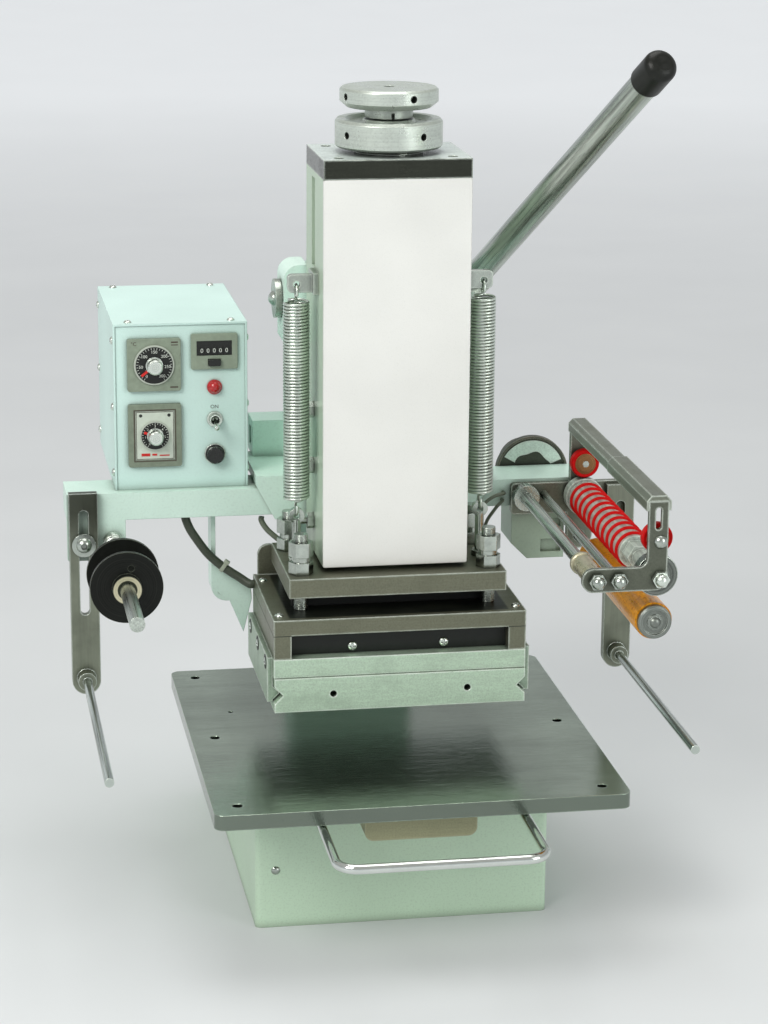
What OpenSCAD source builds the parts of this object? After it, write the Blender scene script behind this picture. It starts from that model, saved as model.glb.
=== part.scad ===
// Hot foil stamping press: lever press on a C-frame with a heated head, sliding table and foil feed.
// Millimetres, +Z up, operator at -Y. Origin on the base underside, on the ram axis.

/* [Base and table] */
// Width of the base casting
base_w = 264; // [230:1:300]
// Base front edge, ahead of the ram axis
base_front = 102; // [80:1:130]
// Height of the base deck
base_h = 138; // [120:1:160]
// Wall of the base casting
base_wall = 14; // [10:1:20]
// Width of the table plate
table_w = 359; // [320:1:400]
// Depth of the table plate
table_d = 384; // [340:1:420]
// Thickness of the table plate
table_t = 13.4; // [10:0.2:18]
// Table centre, ahead of the ram axis
table_shift = 20; // [0:1:40]
// Width of the slide key under the table
key_w = 98; // [80:1:130]
// Depth of the slide key
key_d = 25.5; // [18:0.5:38]
// Width of the table handle
handle_w = 176; // [120:1:220]
// Reach of the table handle ahead of the table
handle_reach = 86; // [60:1:120]
// Radius of the handle rod
handle_r = 4.2; // [3:0.2:6]

/* [Frame] */
// Width of the column casting
col_w = 116; // [90:1:124]
// Depth of the column behind the throat
col_d = 65; // [50:1:80]
// Room between table rear edge and column
throat_gap = 13; // [6:1:20]
// Height of the cross shaft above the casing foot
shaft_up = 211; // [190:1:230]
// Cross shaft behind the ram axis
shaft_y = 110; // [105:1:120]
// Radius of the cross shaft
shaft_r = 11; // [8:0.5:13]
// Width across the beam sockets
wing_w = 220; // [200:1:240]

/* [Head casing] */
// Width of the head casing
case_w = 129; // [120:1:150]
// Height of the head casing
case_h = 342.6; // [320:1:360]
// Casing face ahead of the ram axis
case_front = 47; // [40:1:52]
// Casing back behind the ram axis
case_back = 52; // [50:1:55]
// Thickness of the front cover
cover_t = 4; // [2:0.5:5]
// Thickness of the cap plate
cap_t = 17; // [12:1:22]
// Radius of the upper hand wheel
wheel_r = 43; // [36:1:50]
// Radius of the lower lock wheel
lock_r = 47; // [40:1:54]
// Radius of the stroke screw
screw_r = 12; // [9:0.5:14]

/* [Heated head] */
// Gap between chase and table with the ram up
daylight = 43.4; // [40:0.2:60]
// Ram travel
stroke = 36; // [20:1:38]
// Width of the chase and hot plate
hot_w = 225; // [200:1:236]
// Depth of the hot plate
hot_d = 146; // [130:1:150]
// Middle of the head plates, ahead of the ram axis
head_mid = 9.6; // [6:0.2:12]
// Thickness of the chase
chase_t = 31; // [24:0.5:36]
// Thickness of the adapter plate
adapter_t = 17; // [12:0.5:22]
// Height of the heater block
heater_t = 21.3; // [16:0.5:26]
// Thickness of the hot plate
hot_t = 14.4; // [10:0.2:18]
// Levelling gap under the head plate
level_gap = 15.6; // [12:0.2:20]
// Width of the head plate
head_w = 193.6; // [180:1:210]
// Depth of the head plate
head_d = 120; // [110:1:130]
// Thickness of the head plate
head_t = 17.5; // [14:0.5:22]
// Ram width
ram_w = 50; // [40:1:60]
// Ram depth
ram_d = 44; // [36:1:48]
// Thickness of the chase rails
rail_t = 5; // [4:0.2:9]

/* [Lever and springs] */
// Length from shaft to the end of the lever rod
lever_len = 440; // [360:5:480]
// Radius of the lever rod
lever_r = 12; // [8:0.5:14]
// Lean of the lever toward the operator at rest
lever_lean = 56; // [50:1:60]
// Splay of the lever away from the casing
lever_splay = 10.5; // [9.5:0.5:13]
// Wall of the rubber grip
grip_wall = 1.7; // [1:0.1:4]
// Sideways place of the return springs
spring_x = 83; // [80:1:86]
// Mean radius of a return spring
spring_r = 10.5; // [8:0.5:11]
// Radius of the spring wire
wire_r = 1.5; // [1:0.1:1.7]
// Coils in one return spring
spring_coils = 40; // [30:1:44]

/* [Cross beam and control box] */
// Height of the beam above the casing foot
beam_up = 20.5; // [16:0.5:26]
// Height of the beam
beam_h = 25; // [20:1:30]
// Depth of the beam
beam_d = 50; // [40:1:60]
// Wall of the beam tube
beam_wall = 2.5; // [1.5:0.5:4]
// Left end of the beam
beam_left = 282; // [270:1:300]
// Right end of the beam
beam_right = 197; // [186:1:206]
// Width of the control box
box_w = 121; // [116:1:130]
// Depth of the control box
box_d = 186; // [150:1:200]
// Height of the control box
box_h = 153; // [150:1:165]
// Sheet thickness of the box
sheet = 2; // [1:0.2:3]

/* [Foil feed] */
// Length of the feed unit between its plates
feed_len = 274; // [240:1:300]
// Feed roller axis to the right of the ram axis
roller_x = 193; // [189:1:197]
// Radius of the roller core
core_r = 14.5; // [12:0.5:15]
// Radius of a roller O-ring section
ring_r = 1.4; // [1:0.1:2]
// Number of O-rings on the roller
ring_n = 11; // [9:1:15]
// Radius of the pinch wheels
pinch_r = 13.2; // [11:0.2:14]
// Radius of the rewind core
rewind_r = 16; // [13:0.5:18]
// Length of the rewind core
rewind_len = 200; // [160:5:220]
// Length of the guide rods
guide_len = 272; // [220:2:290]
// Radius of the guide rods
guide_r = 4; // [3:0.5:5]
// Width of the slotted guide bars
bar_w = 26; // [22:1:28]
// Height of the slotted guide bars
bar_h = 190; // [170:2:210]
// Radius of the reel discs
reel_r = 31.5; // [26:0.5:36]
// Distance between the reel discs
reel_gap = 38; // [30:1:46]
// Radius of the reel shaft
reel_shaft_r = 6.5; // [5:0.5:8]

/* [Fits] */
// Radial clearance of running fits
fit = 0.05; // [0.02:0.01:0.1]
// Clearance of sliding faces
slide = 0.2; // [0.1:0.05:0.4]

/* [Hidden] */
$fn = 48;
eps = 1;
// module of the sector gear and its pitch radius
gear_m = 2.5;
gear_teeth = 56;
gear_r = gear_m * gear_teeth / 2;
gear_w = 24;
gear_lash = 0.16;
gear_add = 2.3;
gear_ded = 2.9;
// levels
z_table0 = base_h + slide;
z_table = z_table0 + table_t;
z_chase = z_table + daylight;
z_adapter = z_chase + chase_t + slide;
z_heater = z_adapter + adapter_t;
z_hot = z_heater + heater_t;
z_hot1 = z_hot + hot_t;
z_head = z_hot1 + level_gap;
z_head1 = z_head + head_t;
head_gap = 4.2;
z_case = z_head1 + head_gap;
z_cap = z_case + case_h;
z_cap1 = z_cap + cap_t;
z_shaft = z_case + shaft_up;
z_beam = z_case + beam_up;
z_beam1 = z_beam + beam_h;
// depths
table_back = table_d / 2 - table_shift;
table_front = -table_d / 2 - table_shift;
col_front = table_back + throat_gap;
col_back = col_front + col_d;
beam_y = case_back + 6;
beam_y1 = beam_y + beam_d;
hot_y0 = -head_mid - hot_d / 2;
hot_y1 = -head_mid + hot_d / 2;
head_y0 = -head_mid - head_d / 2;
head_y1 = -head_mid + head_d / 2;
// springs
spring_y = -14;
hook_r = 6;
z_tab = z_case + 247;
// the hook wire hangs on the edge of its hole, with a little room at the faces of the eye
hook_hole = 2 * wire_r;
hook_room = 0.5;
tab_t = 6;
hook_off = hook_hole - wire_r - hook_r + sqrt(hook_r * hook_r - tab_t * tab_t / 4) - hook_room;
z_coil1 = z_tab - 2 * hook_r - 3;
z_eye = z_head1 + 43.4;
z_coil0 = z_eye + 2 * hook_r + 3;
// gear rack on the ram
rack_y = shaft_y - gear_r;
z_ram1 = z_cap - 14;
// feed unit
far_t = 6;
near_t = 4;
far_y0 = beam_y - far_t;
near_y1 = far_y0 - feed_len;
near_y0 = near_y1 - near_t;
z_roller = z_beam + 10.7;
pinch_gap = 0.3;
wheel2_r = core_r + 3.5;
z_pinch = z_roller + wheel2_r + pinch_r + pinch_gap;
leg_w = 17;
leg_x = roller_x - 11;
z_leg = z_pinch + 35;
z_rewind = z_roller - 40.5;
rewind_x = roller_x - 1;
axle_r = 5;
tie1_x = roller_x - 54;
tie2_x = roller_x - 35.5;
groove_d = 0.8;
ring_seat = core_r - groove_d;
// control box
box_x0 = -wing_w / 2 - 6 - box_w;
box_x1 = box_x0 + box_w;
box_y0 = beam_y + 10.6;
box_y1 = box_y0 + box_d;
box_z1 = z_beam1 + box_h;
panel_y = box_y0 + 1;
dial_x = box_x0 + 36.5;
z_dial1 = z_beam1 + 115.8;
z_dial2 = z_beam1 + 50.7;
knob_x = box_x0 + 91;
z_lamp = z_beam1 + 93.6;
z_toggle = z_beam1 + 63.8;
z_fuse = z_beam1 + 31.3;
z_counter = z_beam1 + 126.6;
// foil unwind side
bar_x = -beam_left + 1.4 + bar_w / 2;
bar_t = 7.8;
z_bar = z_beam - 162;
rod_up = 15.7;
slot_r = 4.2;
reel_x = -beam_left + 41.5;
z_reel = z_beam - 18.8;
right_bar_x = roller_x + 36;
z_rbar = z_bar + 4;
bar_less = 12;
clamp_up = 142;
plate_drop = 37;
plate_w = 53;

// bars and plates laid along an axis
module xcyl(x0, x1, y, z, r) translate([x0, y, z]) rotate([0, 90, 0]) cylinder(r = r, h = x1 - x0);
module ycyl(y0, y1, x, z, r) translate([x, y1, z]) rotate([90, 0, 0]) cylinder(r = r, h = y1 - y0);
module zcyl(z0, z1, x, y, r) translate([x, y, z0]) cylinder(r = r, h = z1 - z0);
module block(x0, x1, y0, y1, z0, z1) translate([x0, y0, z0]) cube([x1 - x0, y1 - y0, z1 - z0]);
module yz(x0, x1) translate([x0, 0, 0]) rotate([90, 0, 90]) linear_extrude(x1 - x0) children();
module xz(y0, y1) translate([0, y1, 0]) rotate([90, 0, 0]) linear_extrude(y1 - y0) children();
module xy(z0, z1) translate([0, 0, z0]) linear_extrude(z1 - z0) children();
// solid of revolution about an axis along Y, profile in radius and distance toward the operator
module yturn(x, y, z) translate([x, y, z]) rotate([90, 0, 0]) rotate_extrude() children();
module rrect(x0, x1, y0, y1, r) {
    translate([x0 + r, y0]) square([x1 - x0 - 2 * r, y1 - y0]);
    translate([x0, y0 + r]) square([x1 - x0, y1 - y0 - 2 * r]);
    for (x = [x0 + r, x1 - r], y = [y0 + r, y1 - r])
        translate([x, y]) circle(r);
}
// both sides of the press
module both() {
    children();
    mirror([1, 0, 0]) children();
}
// dome screw head, axis along +Z
module dome(r, h) rotate_extrude() intersection() {
    translate([0, h - (r * r + h * h) / (2 * h)]) circle((r * r + h * h) / (2 * h));
    square([r, h]);
}
module hexnut(r, h) cylinder(r = r, h = h, $fn = 6);

module base_casting() color("honeydew") difference() {
    xy(0, base_h) rrect(-base_w / 2, base_w / 2, -base_front, col_back, 5);
    both() block(col_w / 2 + 14, base_w / 2 + eps, table_back - 14, col_back + eps, base_h - 18,
        base_h + eps);
    for (y = [[-base_front + base_wall, -base_wall / 2], [base_wall / 2, col_back - base_wall]])
        xy(-eps, base_h - key_d - base_wall)
            rrect(-base_w / 2 + base_wall, base_w / 2 - base_wall, y[0], y[1], 8);
    block(-key_w / 2 - slide, key_w / 2 + slide, -base_front - eps, table_back + 3,
        base_h - key_d - slide, base_h + eps);
}

lug_l = 22;
lug_r = 20;
module lug(w) difference() {
    translate([col_w / 2, z_shaft - 37]) square([w, 71]);
    translate([col_w / 2 + w - 14, z_shaft + 20]) difference() {
        square(15);
        circle(14);
    }
}
module frame_column() color("honeydew") difference() {
    union() {
        yz(-col_w / 2, col_w / 2) polygon([
            [col_front, base_h], [col_back, base_h], [col_back, z_shaft - 29], [shaft_y + 40, z_shaft + 13],
            [shaft_y - 5, z_shaft + 35], [case_back, z_shaft + 48], [case_back, z_case + 6],
            [shaft_y + 40, z_case + 6], [col_front, z_case - 22]]);
        block(-col_w / 2 - 12, col_w / 2 + 12, col_front, col_back, base_h, base_h + 14);
        block(-wing_w / 2, wing_w / 2, beam_y - 3, beam_y1 + 42, z_beam - 4, z_beam1 + 12);
        block(-wing_w / 2 + 6, -col_w / 2, beam_y1 + 22, beam_y1 + 57, z_beam1 + 12, z_beam1 + 46);
        mirror([1, 0, 0]) xz(shaft_y - 22, shaft_y + 22) lug(lug_l);
        xz(shaft_y - 22, shaft_y + 22) lug(lug_r);
    }
    block(-wing_w / 2 - eps, wing_w / 2 + eps, beam_y, beam_y1, z_beam, z_beam1);
    both() xz(beam_y - 4, beam_y1 + 43) polygon([[wing_w / 2 + 1, z_beam + 28], [wing_w / 2, z_beam + 28],
        [wing_w / 2 - 17, z_beam - 4], [wing_w / 2 - 17, z_beam - 5], [wing_w / 2 + 1, z_beam - 5]]);
    block(-gear_w / 2 - 2, gear_w / 2 + 2, case_back - eps, shaft_y + 40, z_shaft - gear_r - 7,
        z_shaft + 60);
    xcyl(-col_w, col_w, shaft_y, z_shaft, shaft_r + fit);
    block(-wing_w / 2, -wing_w / 2 + 12, beam_y1 + 32, beam_y1 + 46, z_beam1 + 20, z_beam1 + 38);
    for (s = [-1, 1])
        translate([s * col_w / 2, 0, 0]) block(-12, 12, col_front + 14, col_back - 14, base_h + 34,
            z_case + 90);
}

gib_t = 6;
gib_y = 7;
guide_h = 140;
case_wall = 10.6;
module head_casing() color("honeydew") difference() {
    block(-case_w / 2, case_w / 2, -case_front, case_back, z_case, z_cap);
    difference() {
        block(-case_w / 2 + case_wall, case_w / 2 - case_wall, -case_front - eps, case_back - 8,
            z_case - eps, z_cap + eps);
        block(-case_w, case_w, -40, case_back, z_case + 10, z_case + 10 + guide_h);
        block(-case_w, case_w, -40, case_back, z_case + case_h - 71, z_case + case_h - 53);
    }
    block(-ram_w / 2 - slide / 2, ram_w / 2 + slide / 2, -ram_d / 2 - slide / 2, ram_d / 2 + slide / 2,
        z_case - eps, z_cap + eps);
    block(-ram_w / 2 - gib_t, 0, -16, 16, z_case - eps, z_case + 10 + guide_h + eps);
    block(-gear_w / 2 - 4, gear_w / 2 + 4, 0, case_back + eps, z_case + 10 + guide_h, z_shaft + 61);
    block(-case_w / 2 - eps, -case_w / 2 + case_wall + 1, gib_y - 6, gib_y + 12, z_cap - 84, z_cap - 6);
    for (k = [0:2])
        xcyl(-case_w / 2 - eps, -ram_w / 2, gib_y, z_case + 28 + 51 * k, 3);
}
module front_cover() color("white")
    xz(-case_front - cover_t, -case_front) rrect(-case_w / 2, case_w / 2, z_case, z_cap, 1.5);
module cap_plate() color("dimgray") difference() {
    union() {
        block(-case_w / 2, case_w / 2, -case_front - cover_t, case_back, z_cap, z_cap1);
        zcyl(z_cap1, z_cap1 + 4, 0, 0, screw_r + 18);
    }
    zcyl(z_cap - eps, z_cap1 + 6, 0, 0, screw_r + fit);
    for (x = [-case_w / 2 + 15, case_w / 2 - 15], y = [-case_front + 9, case_back - 14])
        zcyl(z_cap1 - 2, z_cap1 + eps, x, y, 4.5);
}
module gib_set() color("silver") {
    block(-ram_w / 2 - gib_t, -ram_w / 2 - slide / 2, -16 + slide, 16 - slide, z_case + 14,
        z_case + 6 + guide_h);
    for (k = [0:2])
        translate([0, gib_y, z_case + 28 + 51 * k]) rotate([0, -90, 0]) {
            translate([0, 0, ram_w / 2 + gib_t])
                cylinder(r = 3, h = case_w / 2 + 13 - ram_w / 2 - gib_t);
            translate([0, 0, case_w / 2]) hexnut(7.5, 6);
        }
}
tab_h = 16;
module spring_tabs() color("dimgray") both() difference() {
    union() {
        block(case_w / 2, case_w / 2 + 5, spring_y - 10, spring_y + 18, z_tab - 8, z_tab + 11);
        xz(spring_y - tab_t / 2, spring_y + tab_t / 2)
            rrect(case_w / 2, spring_x + 8, z_tab - 7, z_tab - 7 + tab_h, 4);
    }
    ycyl(spring_y - tab_t, spring_y + tab_t, spring_x, z_tab + hook_off, hook_hole);
}

strap_t = 4;
strap_r = 14;
strap_x = -wing_w / 2 - 39.5;
module cross_beam() color("honeydew") {
    difference() {
        block(-beam_left, beam_right, beam_y, beam_y1, z_beam, z_beam1);
        block(-beam_left + beam_wall, beam_right + eps, beam_y + beam_wall, beam_y1 - beam_wall,
            z_beam + beam_wall, z_beam1 - beam_wall);
    }
    difference() {
        xz(beam_y, beam_y + 6) rrect(-beam_left, -beam_left + plate_w, z_beam - plate_drop, z_beam + 2, 2);
        ycyl(beam_y - eps, beam_y + 7, reel_x, z_reel, reel_shaft_r);
        ycyl(beam_y - eps, beam_y + 7, bar_x, z_bar + clamp_up, 4);
    }
    // bent strap that carries the heater cable
    xz(beam_y + 18, beam_y + 43) translate([strap_x, z_beam]) {
        translate([0, -72]) square([strap_t, 73]);
        translate([strap_r, -72]) difference() {
            circle(strap_r);
            circle(strap_r - strap_t);
            translate([0, -strap_r - 1]) square(2 * strap_r + 2);
            translate([-strap_r - 1, 0]) square(2 * strap_r + 2);
        }
        translate([strap_r - 0.5, -72 - strap_r]) square([5, strap_t]);
    }
    xz(beam_y + 18, beam_y + 21) translate([strap_x, z_beam]) polygon([[2, -50], [36.5, -73], [37.5, -85],
        [29.5, -117], [16, -84.5], [9, -81], [2, -73]]);
}

module box_cover() color("whitesmoke") {
    block(box_x0, box_x1, box_y0, box_y1, box_z1 - sheet, box_z1);
    block(box_x0, box_x0 + sheet, box_y0, box_y1, z_beam1, box_z1 - sheet);
    block(box_x1 - sheet, box_x1, box_y0, box_y1, z_beam1, box_z1 - sheet);
}
bez = 48;
bez2_h = 58;
cnt_w = 42;
cnt_h = 32.5;
module box_chassis() color("whitesmoke") difference() {
    union() {
        block(box_x0 + sheet, box_x1 - sheet, panel_y, panel_y + sheet, z_beam1, box_z1 - sheet);
        block(box_x0 + sheet, box_x1 - sheet, panel_y + sheet, box_y1 - sheet, z_beam1, z_beam1 + sheet);
        block(box_x0 + sheet, box_x1 - sheet, box_y1 - sheet, box_y1, z_beam1, box_z1 - sheet);
    }
    for (z = [z_dial1, z_dial2])
        block(dial_x - bez / 2 + 2, dial_x + bez / 2 - 2, panel_y - eps, panel_y + sheet + eps,
            z - bez / 2 + 3, z + bez / 2 - 3);
    block(knob_x - cnt_w / 2 + 2, knob_x + cnt_w / 2 - 2, panel_y - eps, panel_y + sheet + eps,
        z_counter - cnt_h / 2 + 2, z_counter + cnt_h / 2 - 2);
    ycyl(panel_y - eps, panel_y + sheet + eps, knob_x, z_lamp, 5);
    ycyl(panel_y - eps, panel_y + sheet + eps, knob_x, z_toggle, 5);
    ycyl(panel_y - eps, panel_y + sheet + eps, knob_x, z_fuse, 6);
}
scale_t = 1.5;
scale1_r = 18;
scale2_r = 13.7;
module dial_unit(z, h, r) difference() {
    union() {
        xz(panel_y - 4, panel_y) rrect(dial_x - bez / 2, dial_x + bez / 2, z - h / 2, z + h / 2, 2);
        block(dial_x - bez / 2 + 2, dial_x + bez / 2 - 2, panel_y, panel_y + 62, z - bez / 2 + 3,
            z + bez / 2 - 3);
        ycyl(panel_y - 4 - scale_t, panel_y - 3, dial_x, z, r);
    }
    ycyl(panel_y - 8, panel_y + 10, dial_x, z, 3 + fit);
}
module temp_controller() color("gray") dial_unit(z_dial1, bez, scale1_r);
module timer_unit() color("gray") difference() {
    dial_unit(z_dial2, bez2_h, scale2_r);
    // sunk face round the scale
    xz(panel_y - 5, panel_y - 3) difference() {
        rrect(dial_x - bez / 2 + 6, dial_x + bez / 2 - 6, z_dial2 - bez2_h / 2 + 6,
            z_dial2 + bez2_h / 2 - 6, 1);
        translate([dial_x, z_dial2]) circle(scale2_r);
    }
}
key_z = 10;
module counter_unit() color("dimgray") difference() {
    union() {
        xz(panel_y - 3, panel_y)
            rrect(knob_x - cnt_w / 2, knob_x + cnt_w / 2, z_counter - cnt_h / 2,
                z_counter + cnt_h / 2, 1.5);
        block(knob_x - cnt_w / 2 + 2, knob_x + cnt_w / 2 - 2, panel_y, panel_y + 34,
            z_counter - cnt_h / 2 + 2, z_counter + cnt_h / 2 - 2);
    }
    block(knob_x - 16, knob_x + 16, panel_y - 4, panel_y - 1.6, z_counter - 3.8, z_counter + 9.8);
    block(knob_x - 5.5 - slide, knob_x + 5.5 + slide, panel_y - 4, panel_y + 10,
        z_counter - key_z - 3 - slide, z_counter - key_z + 3 + slide);
}
module pilot_lamp() color("red") {
    ycyl(panel_y, panel_y + 22, knob_x, z_lamp, 5);
    yturn(knob_x, panel_y, z_lamp) {
        square([6.8, 2]);
        intersection() {
            translate([0, 1]) circle(6);
            square([6, 8]);
        }
    }
}
module panel_fittings() color("silver") {
    difference() {
        union() {
            ycyl(panel_y - 2, panel_y, knob_x, z_toggle, 7);
            ycyl(panel_y - 7, panel_y + sheet + 6, knob_x, z_toggle, 5);
            block(knob_x - 6.5, knob_x + 6.5, panel_y + sheet, panel_y + 26, z_toggle - 10, z_toggle + 10);
        }
        ycyl(panel_y - 8, panel_y + 5, knob_x, z_toggle, 4);
    }
    yturn(knob_x, panel_y, z_fuse) polygon([[0, 0], [9.5, 0], [9.5, 1.5], [7.8, 2], [7.8, 8], [6.8,
        9], [0, 9]]);
    ycyl(panel_y, panel_y + 40, knob_x, z_fuse, 6);
}
module on_x(x, y, z, s) translate([x, y, z]) rotate([0, 90 * s, 0]) children();
module box_screws() color("silver") {
    for (x = [box_x0 + 14, box_x1 - 14], y = [box_y0 + 8, box_y1 - 8])
        translate([x, y, box_z1]) dome(3.6, 2.4);
    for (y = [box_y0 + 9, box_y1 - 9], k = [0:2]) {
        on_x(box_x0, y, z_beam1 + 15 + 61 * k, -1) dome(3.6, 2.4);
        on_x(box_x1, y, z_beam1 + 15 + 61 * k, 1) dome(3.6, 2.4);
    }
}

module reel_shaft() color("silver") {
    ycyl(beam_y - 256, beam_y + 6, reel_x, z_reel, reel_shaft_r);
    // stack of brake rings that widens away from the beam
    yturn(reel_x, beam_y, z_reel) {
        square([reel_shaft_r + 1, 26]);
        for (k = [0:3])
            translate([reel_shaft_r + min(0.8 * k, 1.6), 3 + 6.5 * k]) circle(2.6);
    }
    ycyl(beam_y + 6, beam_y + 14, reel_x, z_reel, reel_shaft_r + 3);
}
module bar_profile(x, z, h) difference() {
    union() {
        translate([x - bar_w / 2, z + bar_w / 2]) square([bar_w, h - bar_w / 2]);
        translate([x, z + bar_w / 2]) circle(bar_w / 2);
    }
    translate([x, z + rod_up]) circle(guide_r);
    translate([x - slot_r, z + 80]) square([2 * slot_r, h - 100]);
    for (dz = [80, h - 20])
        translate([x, z + dz]) circle(slot_r);
}
module guide(x, y, z, h) {
    xz(y - bar_t, y) bar_profile(x, z, h);
    ycyl(y - bar_t - guide_len, y, x, z + rod_up, guide_r);
    difference() {
        ycyl(y - bar_t - 12, y - bar_t, x, z + rod_up, guide_r + 4.5);
        ycyl(y - bar_t - 13, y - bar_t + eps, x, z + rod_up, guide_r);
    }
}
module left_guide() color("darkgray") guide(bar_x, beam_y - slide / 2, z_bar, bar_h);
module right_guide() color("darkgray") guide(right_bar_x, far_y0 - slide / 2, z_rbar, bar_h - bar_less);

module leg_profile(z_top) {
    translate([leg_x, z_roller]) square([leg_w, z_top - z_roller]);
}
module far_plate() color("darkslategray") xz(far_y0, beam_y) difference() {
    union() {
        leg_profile(z_leg);
        rrect(tie1_x - 12.5, right_bar_x + bar_w / 2, z_roller - 18, z_roller + 11.5, 4);
        rrect(right_bar_x - bar_w / 2, right_bar_x + bar_w / 2, z_rbar + clamp_up - bar_less - 12,
            z_roller + 11.5, 4);
        translate([rewind_x - 12, z_rewind]) square([24, z_roller - z_rewind]);
        translate([rewind_x, z_rewind]) circle(12);
    }
    translate([roller_x, z_roller]) circle(axle_r + fit);
    translate([rewind_x, z_rewind]) circle(axle_r + fit);
    translate([roller_x, z_pinch]) circle(3);
    translate([right_bar_x, z_rbar + clamp_up - bar_less]) circle(4);
    translate([tie1_x, z_roller]) circle(4);
    translate([tie2_x, z_roller]) circle(3);
}
module near_plate() color("darkslategray") xz(near_y0, near_y1) difference() {
    union() {
        leg_profile(z_leg);
        rrect(tie1_x - 12.5, leg_x + leg_w, z_roller - 10.3, z_roller + 10.3, 10);
        translate([leg_x + leg_w - 10, z_roller - 0.1]) square([10, 10]);
        translate([leg_x - 8, z_roller + 10]) difference() {
            square(8.1);
            translate([0, 8]) circle(8);
        }
    }
    translate([roller_x, z_roller]) circle(axle_r + fit);
    translate([roller_x, z_pinch]) circle(3);
    translate([leg_x + leg_w / 2 - 2.5, z_leg - 22]) square([5, 14]);
    for (dz = [8, 22])
        translate([leg_x + leg_w / 2, z_leg - dz]) circle(2.5);
    translate([tie1_x, z_roller]) circle(4);
    translate([tie2_x, z_roller]) circle(3);
}
module tie_rods() color("silver") {
    ycyl(near_y1, far_y0, tie1_x, z_roller, 5.7);
    ycyl(near_y0 - 4, beam_y, tie1_x, z_roller, 4);
    ycyl(far_y0 - 12, far_y0, tie1_x, z_roller, 12);
    ycyl(near_y1, near_y1 + 16, tie1_x, z_roller, 9);
    ycyl(near_y1, far_y0, tie2_x, z_roller, 4);
    ycyl(near_y0 - 4, beam_y, tie2_x, z_roller, 3);
}
module acorn(x, y, z, bore) translate([x, y, z]) rotate([90, 0, 0]) difference() {
    union() {
        hexnut(7.4, 5.5);
        rotate_extrude() intersection() {
            translate([0, 5.5]) circle(5.8);
            square([6, 12]);
        }
    }
    translate([0, 0, -eps]) cylinder(r = bore, h = eps + 4);
}
// button-head screw with a hex socket on a wide washer
module clamp_bolt(x, y, z, r, len) translate([x, y, z]) rotate([90, 0, 0]) difference() {
    union() {
        translate([0, 0, -len]) cylinder(r = r, h = len + 3);
        cylinder(r = 2.7 * r, h = 2);
        translate([0, 0, 2]) dome(1.75 * r, 1.1 * r);
    }
    translate([0, 0, 2 + 0.4 * r]) hexnut(0.8 * r, r);
}
module frame_bolts() color("silver") {
    acorn(tie1_x, near_y0, z_roller, 4);
    acorn(tie2_x, near_y0, z_roller, 3);
    clamp_bolt(bar_x, beam_y - bar_t - slide, z_bar + clamp_up, 4, bar_t + slide + 6);
    clamp_bolt(right_bar_x, far_y0 - bar_t - slide, z_rbar + clamp_up - bar_less, 4, bar_t + slide + far_t);
    ycyl(near_y0, near_y1 + 16, roller_x, z_pinch, 3);
    translate([roller_x, near_y0, z_pinch]) rotate([90, 0, 0]) dome(6, 4);
    ycyl(far_y0 - 15, beam_y, roller_x, z_pinch, 3);
    translate([-114, -base_front, 54]) rotate([90, 0, 0]) dome(4, 2);
    for (x = [-col_w / 2 - 6, col_w / 2 + 6], y = [col_front + 14, col_back - 14])
        translate([x, y, base_h + 14]) hexnut(5.8, 5);
}
bar_over = 1.2;
module bar_section(t) let(o = bar_over + t, x1 = leg_x + leg_w) polygon([[leg_x - o, z_leg - 8],
    [leg_x - o, z_leg],
    [leg_x + 4 - o, z_leg + 4 + t], [x1 - 4 + o, z_leg + 4 + t], [x1 + o, z_leg], [x1 + o, z_leg - 8],
    [x1, z_leg - 8], [x1, z_leg], [leg_x, z_leg], [leg_x, z_leg - 8]]);
module cover_bar() color("gray") {
    xz(near_y0, near_y1 + 130) bar_section(0.9);
    xz(near_y1 + 130, beam_y) bar_section(0);
}
module feed_housing() color("honeydew") difference() {
    xz(beam_y + 1, beam_y1 - 3)
        polygon([[tie1_x - 10, z_beam], [tie1_x - 10, z_beam - 37], [tie1_x + 5, z_beam - 52],
            [tie1_x + 40, z_beam - 52], [tie1_x + 40, z_beam]]);
    block(tie1_x + 22, tie1_x + 37, beam_y, beam_y + 5, z_beam - 22, z_beam - 14);
    block(tie1_x + 18, tie1_x + 37, beam_y, beam_y + 5, z_beam - 46, z_beam - 34);
}
motor_r = 34.5;
motor_x = tie1_x + 19.5;
module feed_motor() color("dimgray") difference() {
    yturn(motor_x, beam_y1 + 44, z_beam1 - 7)
        polygon([[0, 0], [motor_r - 12, 0], [motor_r - 11, 1], [motor_r - 11, 37], [motor_r, 37],
            [motor_r, 44], [0, 44]]);
    ycyl(beam_y1 - eps, beam_y1 + 1.5, motor_x, z_beam1 - 7, motor_r - 2);
}

// helical tube swept along a list of points with a carried frame
function unit(v) = v / max(norm(v), 1e-9);
function tangent(p, i) = unit(p[min(i + 1, len(p) - 1)] - p[max(i - 1, 0)]);
function square_to(n, t) = unit(n - (n * t) * t);
function frames(p, n0) = [for (i = 0, n = square_to(n0, tangent(p, 0)); i < len(p); i = i + 1,
    n = i < len(p) ? square_to(n, tangent(p, i)) : n) n];
function skin(p, r, k, n0) = let(f = frames(p, n0)) [for (i = [0:len(p) - 1], j = [0:k - 1])
    let(b = cross(tangent(p, i), f[i])) p[i] + r * (cos(360 * j / k) * f[i] + sin(360 * j / k) * b)];
function tris(m, k) = concat(
    [for (i = [0:m - 2], j = [0:k - 1]) [i * k + j, i * k + (j + 1) % k, (i + 1) * k + (j + 1) % k]],
    [for (i = [0:m - 2], j = [0:k - 1]) [i * k + j, (i + 1) * k + (j + 1) % k, (i + 1) * k + j]],
    [for (j = [1:k - 2]) [0, j + 1, j]],
    [for (j = [1:k - 2]) [(m - 1) * k, (m - 1) * k + j, (m - 1) * k + j + 1]]);
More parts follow.
